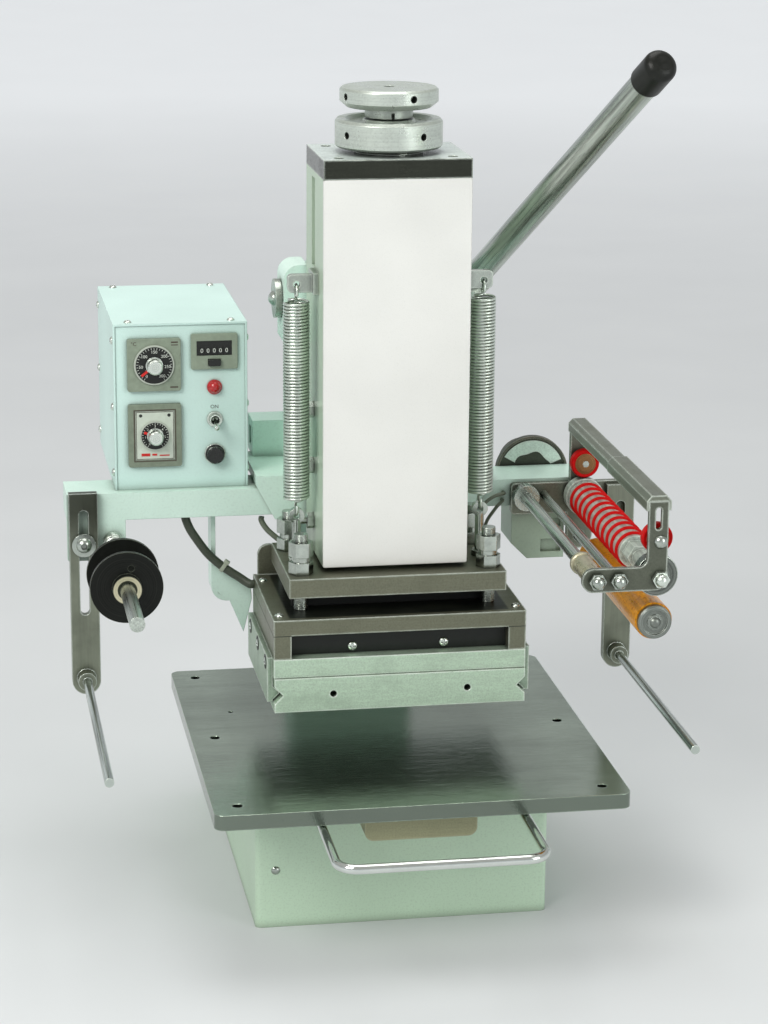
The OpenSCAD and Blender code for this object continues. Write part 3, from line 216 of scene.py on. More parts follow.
class Finish(Graph):
    """Material whose nodes read Object coordinates."""

    def __init__(self, name, **sockets):
        self.material = bpy.data.materials.new(name)
        self.material.use_nodes = True
        super().__init__(self.material.node_tree)
        self.shader = self.nodes["Principled BSDF"]
        where = self.node("ShaderNodeTexCoord").outputs
        self.place, self.turn = where["Object"], where["Normal"]
        for socket, value in sockets.items():
            self.feed(self.shader.inputs[socket.replace("_", " ").title().replace("Ior", "IOR")], value)

    def stretched(self, scale):
        """Object coordinates drawn out along an axis."""
        return self.node("ShaderNodeMapping", {"Vector": self.place, "Scale": scale}).outputs["Vector"]

    def drawn(self, direction, scale):
        """Object coordinates turned so that X runs along a direction, then stretched."""
        turn = Vector(RIGHT).rotation_difference(Vector(direction)).to_euler()
        return self.node("ShaderNodeMapping", {
            "Vector": self.place, "Rotation": turn, "Scale": [1 / s for s in scale]},
            vector_type="TEXTURE").outputs["Vector"]

    def away(self, centre, axis):
        """Distance from the line along an axis through a point."""
        squares = []
        for k, name in enumerate("XYZ"):
            if name != axis:
                off = self.maths("SUBTRACT", self.part(self.place, name), centre[k])
                squares.append(self.product(off, off))
        return self.maths("SQRT", self.maths("ADD", *squares))

    def noise(self, scale, detail=3.0, roughness=0.55, where=None, distortion=0.0):
        return self.node("ShaderNodeTexNoise", {
            "Vector": where or self.place, "Scale": scale, "Detail": detail, "Roughness": roughness,
            "Distortion": distortion}).outputs["Fac"]

    def rings(self, away, axis, scale):
        """Noise that is the same all round an axis."""
        where = self.node("ShaderNodeCombineXYZ", {"X": away, "Y": self.part(self.place, axis)})
        return self.noise(scale, 2.0, 0.6, where.outputs["Vector"])

    def below(self, value, limit, width=0.0002):
        """1 below a limit, 0 above it."""
        return self.ramp(value, limit, limit + width, 1.0, 0.0)

    def across(self, low, high):
        """1 in the middle of the press, 0 beyond a distance to its sides."""
        return self.ramp(self.maths("ABSOLUTE", self.part(self.place, "X")), low, high, 1.0, 0.0)

    def edges(self, radius, low=0.02, high=0.2):
        """Near 1 along the edges of the solid, 0 on its faces."""
        rounded = self.node("ShaderNodeBevel", {"Radius": radius}, samples=4).outputs["Normal"]
        flat = self.node("ShaderNodeNewGeometry").outputs["Normal"]
        turn = self.node("ShaderNodeVectorMath", {0: rounded, 1: flat}, operation="DOT_PRODUCT").outputs["Value"]
        return self.ramp(self.maths("SUBTRACT", 1.0, turn), low, high)

    def ends(self, axis):
        """1 on faces square to an axis."""
        return self.ramp(self.maths("ABSOLUTE", self.part(self.turn, axis)), 0.6, 0.9)

    def tones(self, value, colour, first, second, low=0.3, high=0.7):
        """Two shades of a colour, told apart by a value."""
        return self.blend(self.ramp(value, low, high), shade(colour, first), shade(colour, second))

    def spots(self, tone, value, low, high, share, other):
        """A share of another colour where a value is high."""
        return self.blend(self.ramp(value, low, high, 0.0, share), tone, other)

    def grime_and_shade(self, tone, distance, share, dirt_and_shade=CORNER_GRIME_AND_SHADE):
        """Grime and painted shade: darkens the inner corners that ambient occlusion finds."""
        hidden = self.node("ShaderNodeAmbientOcclusion", {"Distance": distance}, samples=6).outputs["AO"]
        return self.blend(self.product(self.ramp(hidden, 0.85, 0.35), share), tone, dirt_and_shade)

    def soft_bump(self, height, strength, distance, radius=0.0):
        """Gives the shader a bump over edges rounded by a radius."""
        made = self.node("ShaderNodeBump", {"Height": height, "Strength": strength, "Distance": distance})
        if radius:
            self.feed(made.inputs["Normal"],
                      self.node("ShaderNodeBevel", {"Radius": radius}, samples=4).outputs["Normal"])
        self.feed(self.shader.inputs["Normal"], made.outputs["Normal"])

    def colour(self, value):
        self.feed(self.shader.inputs["Base Color"], value)

    def rough(self, value):
        self.feed(self.shader.inputs["Roughness"], value)

    def metal(self, value):
        self.feed(self.shader.inputs["Metallic"], value)


def shade(colour, factor):
    return tuple(min(1.0, c * factor) for c in colour[:3])


def paint_finish(name, colour, grain, gloss=0.38, speck=0.18):
    """Enamel: slow drift of tone, fine orange peel, soft grime and painted shade in the corners, and rubbed edges."""
    f = Finish(name, metallic=0.0, coat_weight=0.2, coat_roughness=0.2)
    edge = 0.0012
    peel = f.noise(grain)
    tone = f.tones(f.noise(9.0, 2.0), colour, 0.94, 1.04)
    tone = f.spots(tone, f.noise(grain * 0.6, 2.0), 0.5, 0.7, speck, shade(colour, 0.66))
    tone = f.grime_and_shade(tone, 0.012, 0.65, (0.09, 0.11, 0.07))
    rubbed = f.product(f.edges(edge), f.ramp(f.noise(160.0, 4.0), 0.42, 0.66))
    f.colour(f.blend(f.product(rubbed, 0.3), tone, shade(colour, 0.5)))
    f.rough(f.ramp(peel, 0.3, 0.7, gloss - 0.05, gloss + 0.09))
    f.soft_bump(peel, 0.16, 0.0005, edge)
    return f.material


def plate_finish(name, colour, along, roughness, metallic, bright=(0.74, 0.80, 0.72), stain=0.25, top=None,
                 under=1.0, burnt=None):
    """Ground plate: fine lines along one axis, grit, stains, and bright edges that are partly rubbed and partly a
    painted highlight.

    top is a pale colour for its upper face, a painted reflection of the sky; under darkens its lower face as
    painted shade; and burnt holds the half width and the front edge of an area of its upper face that is painted
    dark, as painted shade of the gap under the head plate."""
    f = Finish(name, metallic=metallic)
    lines = f.noise(1.0, 2.0, 0.6, f.stretched(along))
    stains = f.noise(26.0, 5.0, 0.62)
    grit = f.noise(700.0, 3.0, 0.6)
    upward = f.part(f.turn, "Z")
    tone = f.tones(lines, colour, 0.93, 1.06)
    # Painted reflection: the upper face takes the pale top colour and little metal sheen, standing in for the sky it
    # reflects.
    if top:
        upper = f.ramp(upward, 0.7, 0.9)
        f.metal(f.ramp(upper, 0.0, 1.0, metallic, 0.05))
        tone = f.blend(upper, tone, f.tones(lines, top, 0.88, 1.08))
    tone = f.spots(tone, grit, 0.42, 0.72, 0.55, shade(colour, 0.6))
    tone = f.spots(tone, stains, 0.5, 0.72, stain, shade(colour, 0.6))
    # Painted shade: the lower face is darkened.
    if under < 1.0:
        tone = f.blend(f.ramp(upward, -0.9, -0.7, 1.0, 0.0), tone, shade(colour, under))
    # Painted shade: a dark area on the upper face, standing in for the shaded gap under the head plate.
    if burnt:
        half, front = burnt
        inside = f.product(f.across(half - 0.001, half + 0.001), f.ramp(f.part(f.place, "Y"), front, front + 0.0015))
        inside = f.product(inside, f.ramp(upward, 0.7, 0.9))
        tone = f.blend(inside, tone, f.blend(f.ramp(stains, 0.35, 0.7), (0.010, 0.012, 0.009), (0.04, 0.046, 0.034)))
    tone = f.grime_and_shade(tone, 0.007, 0.75)
    # Bright edges: partly rubbed, partly a painted highlight.
    worn = f.product(f.edges(0.0024, 0.01, 0.1), f.ramp(f.noise(90.0), 0.25, 0.6, 0.45, 1.0))
    f.colour(f.blend(worn, tone, bright))
    f.rough(f.maths("ADD", f.ramp(lines, 0.3, 0.7, roughness - 0.06, roughness + 0.05),
                    f.ramp(stains, 0.45, 0.75, 0.0, 0.1)))
    f.soft_bump(grit, 0.12, 0.0002, 0.0009)
    return f.material


def guide_finish(name, colour, corner, dark_reflection_top=1.0):
    """Slotted bar with ground lines up its length, and a drawn rod that stands out of it, painted with bright and
    dark reflection stripes along its length.

    corner is the highest corner of its box, and oiled darkens its clamped upper end as a painted dark reflection."""
    f = Finish(name, metallic=0.95)
    front = corner.y - BAR_THICKNESS
    rod = f.below(f.part(f.place, "Y"), front - 0.0125, 0.0003)
    lines = f.noise(1.0, 3.0, 0.6, f.stretched((420.0, 260.0, 24.0)))
    streaks = f.noise(1.0, 2.0, 0.6, f.stretched((620.0, 7.0, 620.0)))
    bar = f.tones(lines, colour, 0.9, 1.12)
    bar = f.spots(bar, f.noise(30.0, 4.0), 0.48, 0.7, 0.5, shade(colour, 0.55))
    # Painted dark reflection on the bar's upper end.
    if dark_reflection_top < 1.0:
        bar = f.blend(f.ramp(f.part(f.place, "Z"), corner.z - 0.060, corner.z - 0.018), bar, shade(colour, dark_reflection_top))
    # Painted reflection: bright and dark stripes along the rod.
    drawn = f.blend(f.ramp(streaks, 0.38, 0.62), (0.16, 0.18, 0.16), (0.66, 0.72, 0.68))
    tone = f.blend(rod, bar, f.blend(f.ends("Y"), drawn, (0.50, 0.55, 0.51)))
    # Bright edges: painted highlight.
    f.colour(f.blend(f.edges(0.0015, 0.01, 0.1), f.grime_and_shade(tone, 0.006, 0.7), (0.70, 0.76, 0.70)))
    f.rough(f.maths("SUBTRACT", f.ramp(lines, 0.3, 0.7, 0.3, 0.42), f.product(rod, 0.16)))
    f.soft_bump(lines, 0.1, 0.0002, 0.0009)
    return f.material


def turned_finish(name, colour, centre, axis="Z", roughness=0.3, bright=1.45, metallic=0.92):
    """Turned part: rings from the tool round its axis, small dents, dull patches, and bright edges painted as a
    highlight.
    """
    f = Finish(name, metallic=metallic)
    lines = f.rings(f.away(centre, axis), axis, 1500.0)
    patches = f.noise(70.0, 4.0, 0.6)
    tone = f.tones(lines, colour, 0.86, 1.1)
    tone = f.spots(tone, patches, 0.5, 0.72, 0.35, shade(colour, 0.6))
    tone = f.spots(tone, f.noise(520.0, 3.0, 0.6), 0.5, 0.72, 0.4, shade(colour, 0.55))
    tone = f.grime_and_shade(tone, 0.009, 0.85, (0.018, 0.02, 0.014))
    # Bright edges: painted highlight.
    f.colour(f.blend(f.edges(0.001), tone, shade(colour, bright)))
    f.rough(f.ramp(patches, 0.35, 0.7, roughness - 0.05, roughness + 0.12))
    f.soft_bump(lines, 0.2, 0.0002, 0.0009)
    return f.material


def roller_finish(name, colour, centre, near_end):
    """Feed roller: pale satin core, and a bright axle with a dark flange at its near end."""
    f = Finish(name)
    away = f.away(centre, "Y")
    lines = f.rings(away, "Y", 1500.0)
    wear = f.noise(1.0, 3.0, 0.6, f.stretched((260.0, 30.0, 260.0)))
    near = f.below(f.part(f.place, "Y"), near_end)
    core = f.tones(wear, colour, 0.5, 1.0)
    flange = f.tones(lines, colour, 0.1, 0.34, 0.35, 0.65)
    tone = f.blend(near, core, f.blend(f.ramp(away, 0.0088, 0.0092), shade(colour, 1.0), flange))
    tone = f.grime_and_shade(tone, 0.005, 0.85, (0.02, 0.024, 0.018))
    # Lighter edges: painted highlight.
    f.colour(f.blend(f.edges(0.0014, 0.01, 0.1), tone, shade(colour, 1.2)))
    f.metal(f.ramp(near, 0.0, 1.0, 0.5, 0.95))
    f.rough(f.maths("SUBTRACT", f.ramp(wear, 0.3, 0.7, 0.36, 0.46), f.product(near, 0.16)))
    f.soft_bump(lines, 0.15, 0.0002, 0.0008)
    return f.material


def table_finish(name, colour):
    """Table top: polished and darkened by use, with cloudy dull areas, streaks, scratches and pits. Its darker middle
    is partly a painted dark reflection, its side faces carry painted shade and its bright edges are partly a painted
    highlight.
    """
    f = Finish(name, metallic=0.96)
    clouds = f.noise(7.0, 4.0, 0.6, distortion=0.4)
    streaks = f.noise(1.0, 3.0, 0.62, f.stretched((9.0, 55.0, 30.0)))
    scratches = f.noise(1.0, 2.0, 0.5, f.stretched((30.0, 1500.0, 300.0)), 0.3)
    pits = f.noise(330.0, 3.0, 0.6)
    tone = f.tones(clouds, colour, 0.78, 1.1, 0.35, 0.66)
    tone = f.spots(tone, streaks, 0.48, 0.75, 0.4, shade(colour, 0.5))
    tone = f.spots(tone, pits, 0.62, 0.72, 0.5, shade(colour, 0.25))
    tone = f.spots(tone, scratches, 0.69, 0.75, 0.3, shade(colour, 1.7))
    # Darker middle toward the back: partly use, partly a painted dark reflection of the press above it.
    use_and_reflection = f.product(f.across(0.085, 0.150), f.ramp(f.part(f.place, "Y"), -0.225, -0.12, 0.0, 0.6))
    tone = f.blend(use_and_reflection, tone, shade(colour, 0.4))
    # Painted shade: the side faces are darker.
    tone = f.blend(f.ramp(f.part(f.turn, "Z"), 0.3, 0.8, 0.8, 0.0), tone, shade(colour, 0.33))
    # Bright edges: partly rubbed, partly a painted highlight.
    worn = f.product(f.edges(0.0014), f.ramp(f.noise(60.0), 0.3, 0.6, 0.5, 1.0))
    f.colour(f.blend(worn, tone, shade(colour, 1.8)))
    f.rough(f.maths("ADD", f.ramp(clouds, 0.35, 0.7, 0.09, 0.15), f.ramp(streaks, 0.45, 0.75, 0.0, 0.06)))
    f.soft_bump(f.maths("ADD", scratches, f.product(pits, 0.7)), 0.32, 0.0003, 0.0011)
    return f.material


def metal_finish(name, colour, roughness, along=(90.0, 90.0, 90.0), direction=None, dirt_and_shade=0.55, vary=0.12,
                 edge=0.0006):
    """Drawn or plated steel: streaks along the piece, grime and painted shade in the corners, and bright edges that
    are partly rubbed and partly a painted highlight.
    """
    f = Finish(name, metallic=1.0)
    streaks = f.noise(1.0, 3.0, 0.6, f.drawn(direction, along) if direction else f.stretched(along))
    tone = f.grime_and_shade(f.tones(streaks, colour, 1 - vary, 1 + vary), 0.004, dirt_and_shade, (0.03, 0.034, 0.024))
    # Bright edges: partly rubbed, partly a painted highlight.
    f.colour(f.blend(f.edges(edge), tone, shade(colour, 1.45)))
    f.rough(f.ramp(streaks, 0.3, 0.7, roughness - 0.04, roughness + 0.08))
    f.soft_bump(f.noise(900.0, 2.0), 0.05, 0.0002, edge)
    return f.material


def collar_finish(name, colour, collar_end):
    """Drawn tie rods, painted with bright and dark reflection stripes and bright edges as a highlight, with a
    brass-coloured collar at their near end.
    """
    f = Finish(name, metallic=1.0)
    streaks = f.noise(1.0, 2.0, 0.6, f.stretched((520.0, 7.0, 520.0)))
    # Painted reflection: strong light and dark stripes along the rods.
    rod = f.blend(f.ends("Y"), f.tones(streaks, colour, 0.42, 1.12, 0.38, 0.62), shade(colour, 0.8))
    collar = f.blend(f.ramp(streaks, 0.3, 0.7), (0.50, 0.46, 0.30), (0.70, 0.66, 0.47))
    tone = f.blend(f.below(f.part(f.place, "Y"), collar_end), rod, collar)
    # Bright edges: painted highlight.
    f.colour(f.blend(f.edges(0.0008), f.grime_and_shade(tone, 0.005, 0.7, (0.025, 0.03, 0.02)), shade(colour, 1.4)))
    f.rough(f.ramp(streaks, 0.3, 0.7, 0.18, 0.34))
    f.soft_bump(streaks, 0.05, 0.0002, 0.0006)
    return f.material


def moulded_finish(name, colour, roughness, texture=900.0, depth=0.08, coat=0.0, worn=0.2, shine=0.35):
    """Moulded plastic or rubber: fine skin texture, faint scuffs, greyed edges that are partly wear and partly a
    painted highlight.
    """
    f = Finish(name, metallic=0.0, coat_weight=coat, coat_roughness=0.12, specular_ior_level=shine)
    scuffs = f.noise(140.0, 5.0, 0.66)
    tone = f.blend(f.ramp(scuffs, 0.45, 0.75), colour, tuple(c * 1.15 + 0.004 for c in colour))
    grey = tuple(c * 0.8 + 0.09 for c in colour)
    # Greyed edges: partly wear, partly a painted highlight.
    f.colour(f.blend(f.product(f.edges(0.0006), worn), tone, grey))
    f.rough(f.ramp(scuffs, 0.4, 0.75, roughness - 0.04, roughness + 0.14))
    f.soft_bump(f.noise(texture, 2.0), depth, 0.0003, 0.0006)
    return f.material


def amber_finish(name, colour):
    """Amber tube: streaks along its length and dark flecks under a glossy skin."""
    f = Finish(name, metallic=0.0, coat_weight=0.25, coat_roughness=0.1, specular_ior_level=0.3)
    streaks = f.noise(1.0, 4.0, 0.6, f.stretched((240.0, 14.0, 240.0)))
    tone = f.tones(streaks, colour, 0.55, 1.12, 0.32, 0.68)
    f.colour(f.spots(tone, f.noise(380.0), 0.5, 0.68, 0.6, (0.36, 0.035, 0.003)))
    f.rough(f.ramp(streaks, 0.3, 0.7, 0.24, 0.4))
    f.soft_bump(streaks, 0.1, 0.0003)
    return f.material


def disc_finish(name, centre, hub_radius, bore_shade_radius):
    """Black reel: faint lathe rings, dust, a greyed rim that is a painted highlight, and a brass-coloured hub with
    painted shade in its bore.
    """
    f = Finish(name, coat_roughness=0.2, specular_ior_level=0.16)
    away = f.away(centre, "Y")
    lines = f.rings(away, "Y", 2200.0)
    dust = f.noise(150.0, 5.0, 0.65)
    hub = f.below(away, hub_radius)
    tone = f.blend(f.ramp(lines, 0.35, 0.65), (0.004, 0.005, 0.004), (0.012, 0.013, 0.011))
    tone = f.spots(tone, dust, 0.58, 0.76, 0.1, (0.05, 0.052, 0.045))
    # Greyed rim: painted highlight.
    tone = f.blend(f.product(f.edges(0.0009), 0.6), tone, (0.26, 0.29, 0.22))
    brass = f.blend(f.ramp(lines, 0.3, 0.7), (0.46, 0.42, 0.27), (0.74, 0.70, 0.52))
    # Painted shade: the bore is dark.
    brass = f.blend(f.below(away, bore_shade_radius), brass, (0.05, 0.055, 0.04))
    f.colour(f.blend(hub, tone, brass))
    f.metal(f.product(hub, 0.9))
    f.rough(f.ramp(dust, 0.4, 0.75, 0.3, 0.5))
    f.soft_bump(lines, 0.15, 0.0002, 0.0005)
    return f.material


def instrument_finish(name, colour, centre, scale_radius):
    """Grey moulded bezel with a black scale inside a pale rim."""
    f = Finish(name, metallic=0.0, specular_ior_level=0.4)
    away = f.away(centre, "Y")
    scuffs = f.noise(150.0, 5.0, 0.66)
    bezel = f.tones(scuffs, colour, 1.08, 0.82, 0.35, 0.72)
    bezel = f.grime_and_shade(bezel, 0.006, 0.85, (0.04, 0.04, 0.03))
    # Lighter edges: painted highlight.
    bezel = f.blend(f.product(f.edges(0.0008), 0.5), bezel, shade(colour, 1.6))
    rimmed = f.blend(f.below(away, scale_radius + 0.0002), bezel, (0.46, 0.50, 0.44))
    f.colour(f.blend(f.below(away, scale_radius - SCALE_RIM), rimmed, (0.008, 0.009, 0.008)))
    f.rough(f.ramp(scuffs, 0.4, 0.75, 0.36, 0.5))
    f.soft_bump(f.noise(1400.0, 2.0), 0.08, 0.0003, 0.0006)
    return f.material


def pointer_finish(name, centre, knob_radius):
    """Spun silver knob with a red pointer."""
    f = Finish(name)
    away = f.away(centre, "Y")
    lines = f.rings(away, "Y", 2600.0)
    bar = f.ramp(away, knob_radius + 0.0001, knob_radius + 0.0003)
    silver = f.blend(f.ramp(lines, 0.3, 0.7), (0.55, 0.60, 0.54), (0.82, 0.86, 0.80))
    f.colour(f.blend(bar, f.grime_and_shade(silver, 0.003, 0.5, (0.06, 0.06, 0.05)), (0.72, 0.018, 0.012)))
    f.metal(f.maths("SUBTRACT", 1.0, bar))
    f.rough(f.ramp(lines, 0.3, 0.7, 0.2, 0.34))
    f.soft_bump(lines, 0.3, 0.0002, 0.0005)
    return f.material


def fittings_finish(name, colour, split, flange):
    """Plated switch bushing over a black fuse cap with a plated flange."""
    f = Finish(name)
    marks = f.noise(140.0, 4.0, 0.6)
    cap = f.product(f.below(f.part(f.place, "Z"), split), f.below(f.part(f.place, "Y"), flange - 0.0002))
    steel = f.tones(marks, colour, 1.1, 0.85, 0.35, 0.7)
    steel = f.grime_and_shade(steel, 0.003, 0.8, (0.03, 0.03, 0.025))
    # The black cap's lighter edges: painted highlight.
    f.colour(f.blend(cap, steel, f.blend(f.edges(0.0006), (0.007, 0.008, 0.007), (0.05, 0.055, 0.05))))
    f.metal(f.maths("SUBTRACT", 1.0, cap))
    f.rough(f.ramp(marks, 0.35, 0.72, 0.2, 0.36))
    f.soft_bump(f.noise(900.0, 2.0), 0.06, 0.0002, 0.0005)
    return f.material


def lens_finish(name, colour):
    """Lamp lens: saturated gloss with faint ribs."""
    f = Finish(name, metallic=0.0, coat_weight=0.6, coat_roughness=0.04)
    ribs = f.noise(600.0, 2.0)
    f.colour(f.tones(ribs, colour, 0.7, 1.1, 0.35, 0.65))
    f.rough(f.ramp(ribs, 0.3, 0.7, 0.12, 0.22))
    f.soft_bump(ribs, 0.15, 0.0004)
    return f.material


def print_finish(name, colour):
    """Printed figures and marks: thin ink with uneven cover."""
    f = Finish(name, metallic=0.0)
    cover = f.noise(1800.0)
    f.colour(f.tones(cover, colour, 0.82, 1.0))
    f.rough(f.ramp(cover, 0.3, 0.7, 0.45, 0.6))
    return f.material


@cache
def finish_makers():
    """What makes each finish, by the name that the operators use."""
    c = bpy.context.scene.press_colours
    lever = (middle("lever_grip") - middle("lever_hub")).normalized()
    near_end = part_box("near_plate")[1].y
    # Half width and front edge of the painted shade on the hot plate's upper face.
    gap_shade = 0.098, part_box("hot_plate")[0].y + 0.0055
    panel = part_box("box_chassis")[0].y
    fuse_top = 0.409
    temp, timer = middle("temp_controller"), middle("timer_unit")
    # Each call below keeps the values for its maker until the finish is first used.
    paint, plate, metal, spun, moulded, ink = (
        partial(partial, maker) for maker in (paint_finish, plate_finish, metal_finish, turned_finish,
                                              moulded_finish, print_finish))
    return {
        "casting": paint("frame_enamel", c.casting, 800.0),
        # Painted shade: a darker copy of the frame paint.
        "casing": paint("casing_enamel", c.casing, 800.0),
        "base": paint("base_enamel", c.base, 900.0, gloss=0.44, speck=0.3),
        "cover": paint("cover_enamel", c.cover, 900.0, gloss=0.3, speck=0.04),
        "box": paint("box_powder_coat", c.box, 1000.0, gloss=0.46, speck=0.12),
        # under: painted shade on the lower faces.
        "plate": plate("ground_plate", shade(c.plate, 1.05), (60.0, 300.0, 500.0), 0.42, 0.6,
                       bright=(0.95, 1.0, 0.95), stain=0.55, under=0.42),
        "rail": plate("chase_rail", shade(c.plate, 0.76), (60.0, 90.0, 300.0), 0.42, 0.6,
                      bright=(0.90, 0.95, 0.90), stain=0.8),
        "dark": plate("dark_plate", c.dark, (25.0, 400.0, 700.0), 0.38, 0.75),
        "hot": plate("hot_plate_steel", c.dark, (25.0, 400.0, 700.0), 0.38, 0.75, burnt=gap_shade),
        "side": plate("side_plate", c.side, (300.0, 60.0, 300.0), 0.36, 0.8),
        # Painted shade: a darker copy of the side plate's steel.
        "near": plate("near_plate", shade(c.side, 0.68), (300.0, 60.0, 300.0), 0.36, 0.8),
        "cover_bar": plate("cover_bar", shade(c.side, 1.05), (300.0, 20.0, 300.0), 0.36, 0.7),
        "tab": plate("spring_tab", shade(c.bright, 0.7), (200.0, 200.0, 60.0), 0.3, 0.9),
        # Painted reflection: dark faces for the studio and a pale top for the sky.
        "cap": plate("cap_steel", shade(c.side, 0.24), (40.0, 300.0, 600.0), 0.2, 0.8, top=(0.68, 0.77, 0.73)),
        "motor": plate("motor_shell", (0.075, 0.085, 0.065), (200.0, 200.0, 200.0), 0.45, 0.5,
                       bright=(0.30, 0.27, 0.22)),
        "key": plate("brown_key", (0.30, 0.30, 0.175), (40.0, 200.0, 500.0), 0.5, 0.0, bright=(0.42, 0.42, 0.28)),
        "label": plate("blank_label", (0.78, 0.92, 0.83), (200.0, 40.0, 200.0), 0.45, 0.0),
        # Painted light: the left bar is lighter below and darker at its upper end.
        "left_bar": partial(guide_finish, "left_bar", shade(c.side, 1.2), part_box("left_guide")[1], dark_reflection_top=0.42),
        "right_bar": partial(guide_finish, "right_bar", shade(c.side, 1.05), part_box("right_guide")[1]),
        "table": partial(table_finish, "worn_table", c.table),
        "bright": metal("bright_steel", c.bright, 0.2),
        "bolt": metal("bolt_steel", shade(c.bright, 0.62), 0.17, dirt_and_shade=0.95, vary=0.2),
        "stud": metal("stud_steel", shade(c.bright, 0.68), 0.2, dirt_and_shade=0.95, vary=0.2),
        "shaft": metal("shaft_steel", shade(c.bright, 0.75), 0.28, (500.0, 12.0, 500.0), vary=0.25),
        # Painted highlight: strong light and dark stripes along the lever.
        "lever": metal("lever_steel", shade(c.bright, 0.62), 0.26, (7.0, 260.0, 260.0), lever, vary=0.5),
        "wire": metal("spring_wire", shade(c.bright, 0.98), 0.3, (30.0, 30.0, 30.0), dirt_and_shade=0.3, vary=0.06, edge=0.0002),
        "chrome": metal("handle_chrome", (0.68, 0.71, 0.68), 0.07, dirt_and_shade=0.3, vary=0.05),
        "pivot": spun("pivot_steel", shade(c.bright, 0.75), middle("cross_shaft"), "X", 0.28),
        "wheel": spun("turned_wheel", shade(c.bright, 0.88), middle("stroke_wheel"), metallic=0.72),
        "arbor": spun("arbor_steel", shade(c.bright, 0.32), middle("rewind_arbor"), "Y", 0.34, bright=3.0),
        "brass": spun("collar_brass", (0.62, 0.58, 0.42), (TIE_X, 0, ROLLER_Z), "Y"),
        "hub": spun("wheel_hub", (0.24, 0.115, 0.04), middle("pinch_far"), "Y", 0.4, bright=2.0, metallic=0.5),
        "ties": partial(collar_finish, "tie_rod_steel", shade(c.bright, 0.8), near_end + COLLAR_REACH),
        "roller": partial(roller_finish, "roller_steel", c.bright, middle("feed_roller"), near_end + FLANGE_REACH),
        "disc": partial(disc_finish, "reel_disc", middle("foil_reel"), 0.0120, 0.0084),
        "temp": partial(instrument_finish, "temp_bezel", (0.25, 0.30, 0.23), temp, TEMP_SCALE),
        "timer": partial(instrument_finish, "timer_bezel", (0.20, 0.24, 0.18), timer, TIMER_SCALE),
        "temp_knob": partial(pointer_finish, "temp_knob", temp, 0.0079),
        "timer_knob": partial(pointer_finish, "timer_knob", timer, 0.0076),
        "fittings": partial(fittings_finish, "panel_fittings", c.bright, fuse_top, panel - 0.0016),
        "roll": partial(amber_finish, "amber_tube", c.roll),
        "lens": partial(lens_finish, "red_lens", (0.50, 0.008, 0.010)),
        "black_metal": moulded("black_oxide", (0.006, 0.008, 0.006), 0.4, 500.0, 0.12),
        "board": moulded("insulation", (0.004, 0.005, 0.004), 0.55, 300.0, 0.2, worn=0.1),
        "bezel": moulded("bezel_grey", (0.26, 0.31, 0.24), 0.42, 1200.0, 0.06),
        "face": moulded("pale_face", (0.56, 0.62, 0.54), 0.4),
        "black": moulded("black_plastic", (0.007, 0.008, 0.007), 0.3, coat=0.2),
        "grip": moulded("grip_rubber", (0.009, 0.010, 0.008), 0.36, 700.0, 0.12, coat=0.08, shine=0.2),
        "cable": moulded("cable_sheath", (0.045, 0.055, 0.038), 0.36, 800.0, 0.15),
        "lead": moulded("lead_sleeve", (0.13, 0.15, 0.11), 0.36, 1500.0, 0.15),
        "tie": moulded("cable_tie", (0.34, 0.38, 0.30), 0.4),
        "ring": moulded("red_rubber", c.ring, 0.42, worn=0.0, shine=0.06),
        "white_print": ink("white_print", (0.74, 0.78, 0.72)),
        "black_print": ink("black_print", (0.02, 0.024, 0.02)),
        "brown_print": ink("brown_print", (0.07, 0.05, 0.035)),
        "red_print": ink("red_print", (0.62, 0.02, 0.014)),
    }


@cache
def finish(name):
    """A finish by its name, made once."""
    return finish_makers()[name]()


def dress(**coats):
    """Gives CAD nodes a finish: each keyword is a finish, with the names of its nodes."""
    for finish_name, nodes in coats.items():
        for node in nodes.split():
            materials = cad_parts[node].data.materials
            materials.clear()
            materials.append(finish(finish_name))


def linked(name, data):
    """New object of the scene."""
    obj = bpy.data.objects.new(name, data)
    bpy.context.scene.collection.objects.link(obj)
    return obj


def piece(name, mesh, finish_name=None, smooth=35.0):
    """Links a finished mesh as an object at the origin."""
    obj = linked(name, mesh)
    mesh.name = name
    if finish_name:
        mesh.materials.clear()
        mesh.materials.append(finish(finish_name))
    if smooth:
        mesh.shade_smooth()
        mesh.set_sharp_from_angle(angle=math.radians(smooth))
    return obj


def as_mesh(form):
    """Mesh of a bmesh, which is freed."""
    mesh = bpy.data.meshes.new("form")
    form.to_mesh(mesh)
    form.free()
    return mesh


def mesh_from(points, faces):
    """A closed mesh with its doubles merged and its faces turned outward."""
    form = bmesh.new()
    corners = [form.verts.new(p) for p in points]
    for face in faces:
        form.faces.new([corners[i] for i in face])
    bmesh.ops.remove_doubles(form, verts=form.verts, dist=1e-7)
    bmesh.ops.recalc_face_normals(form, faces=form.faces)
    return as_mesh(form)


def turned(profile, sides):
    """Mesh turned about Z from (radius, height) pairs that start and end on the axis, or end where they start."""
    points, faces = [], []
    for radius, height in profile:
        for k in range(sides):
            a = 2 * math.pi * k / sides
            points.append((radius * math.cos(a), radius * math.sin(a), height))
    for row in range(len(profile) - 1):
        for k in range(sides):
            n = (k + 1) % sides
            quad = [row * sides + k, row * sides + n, (row + 1) * sides + n, (row + 1) * sides + k]
            if profile[row][0] == 0:
                quad = [quad[0], quad[2], quad[3]]
            elif profile[row + 1][0] == 0:
                quad = [quad[0], quad[1], quad[2]]
            faces.append(quad)
    return mesh_from(points, faces)


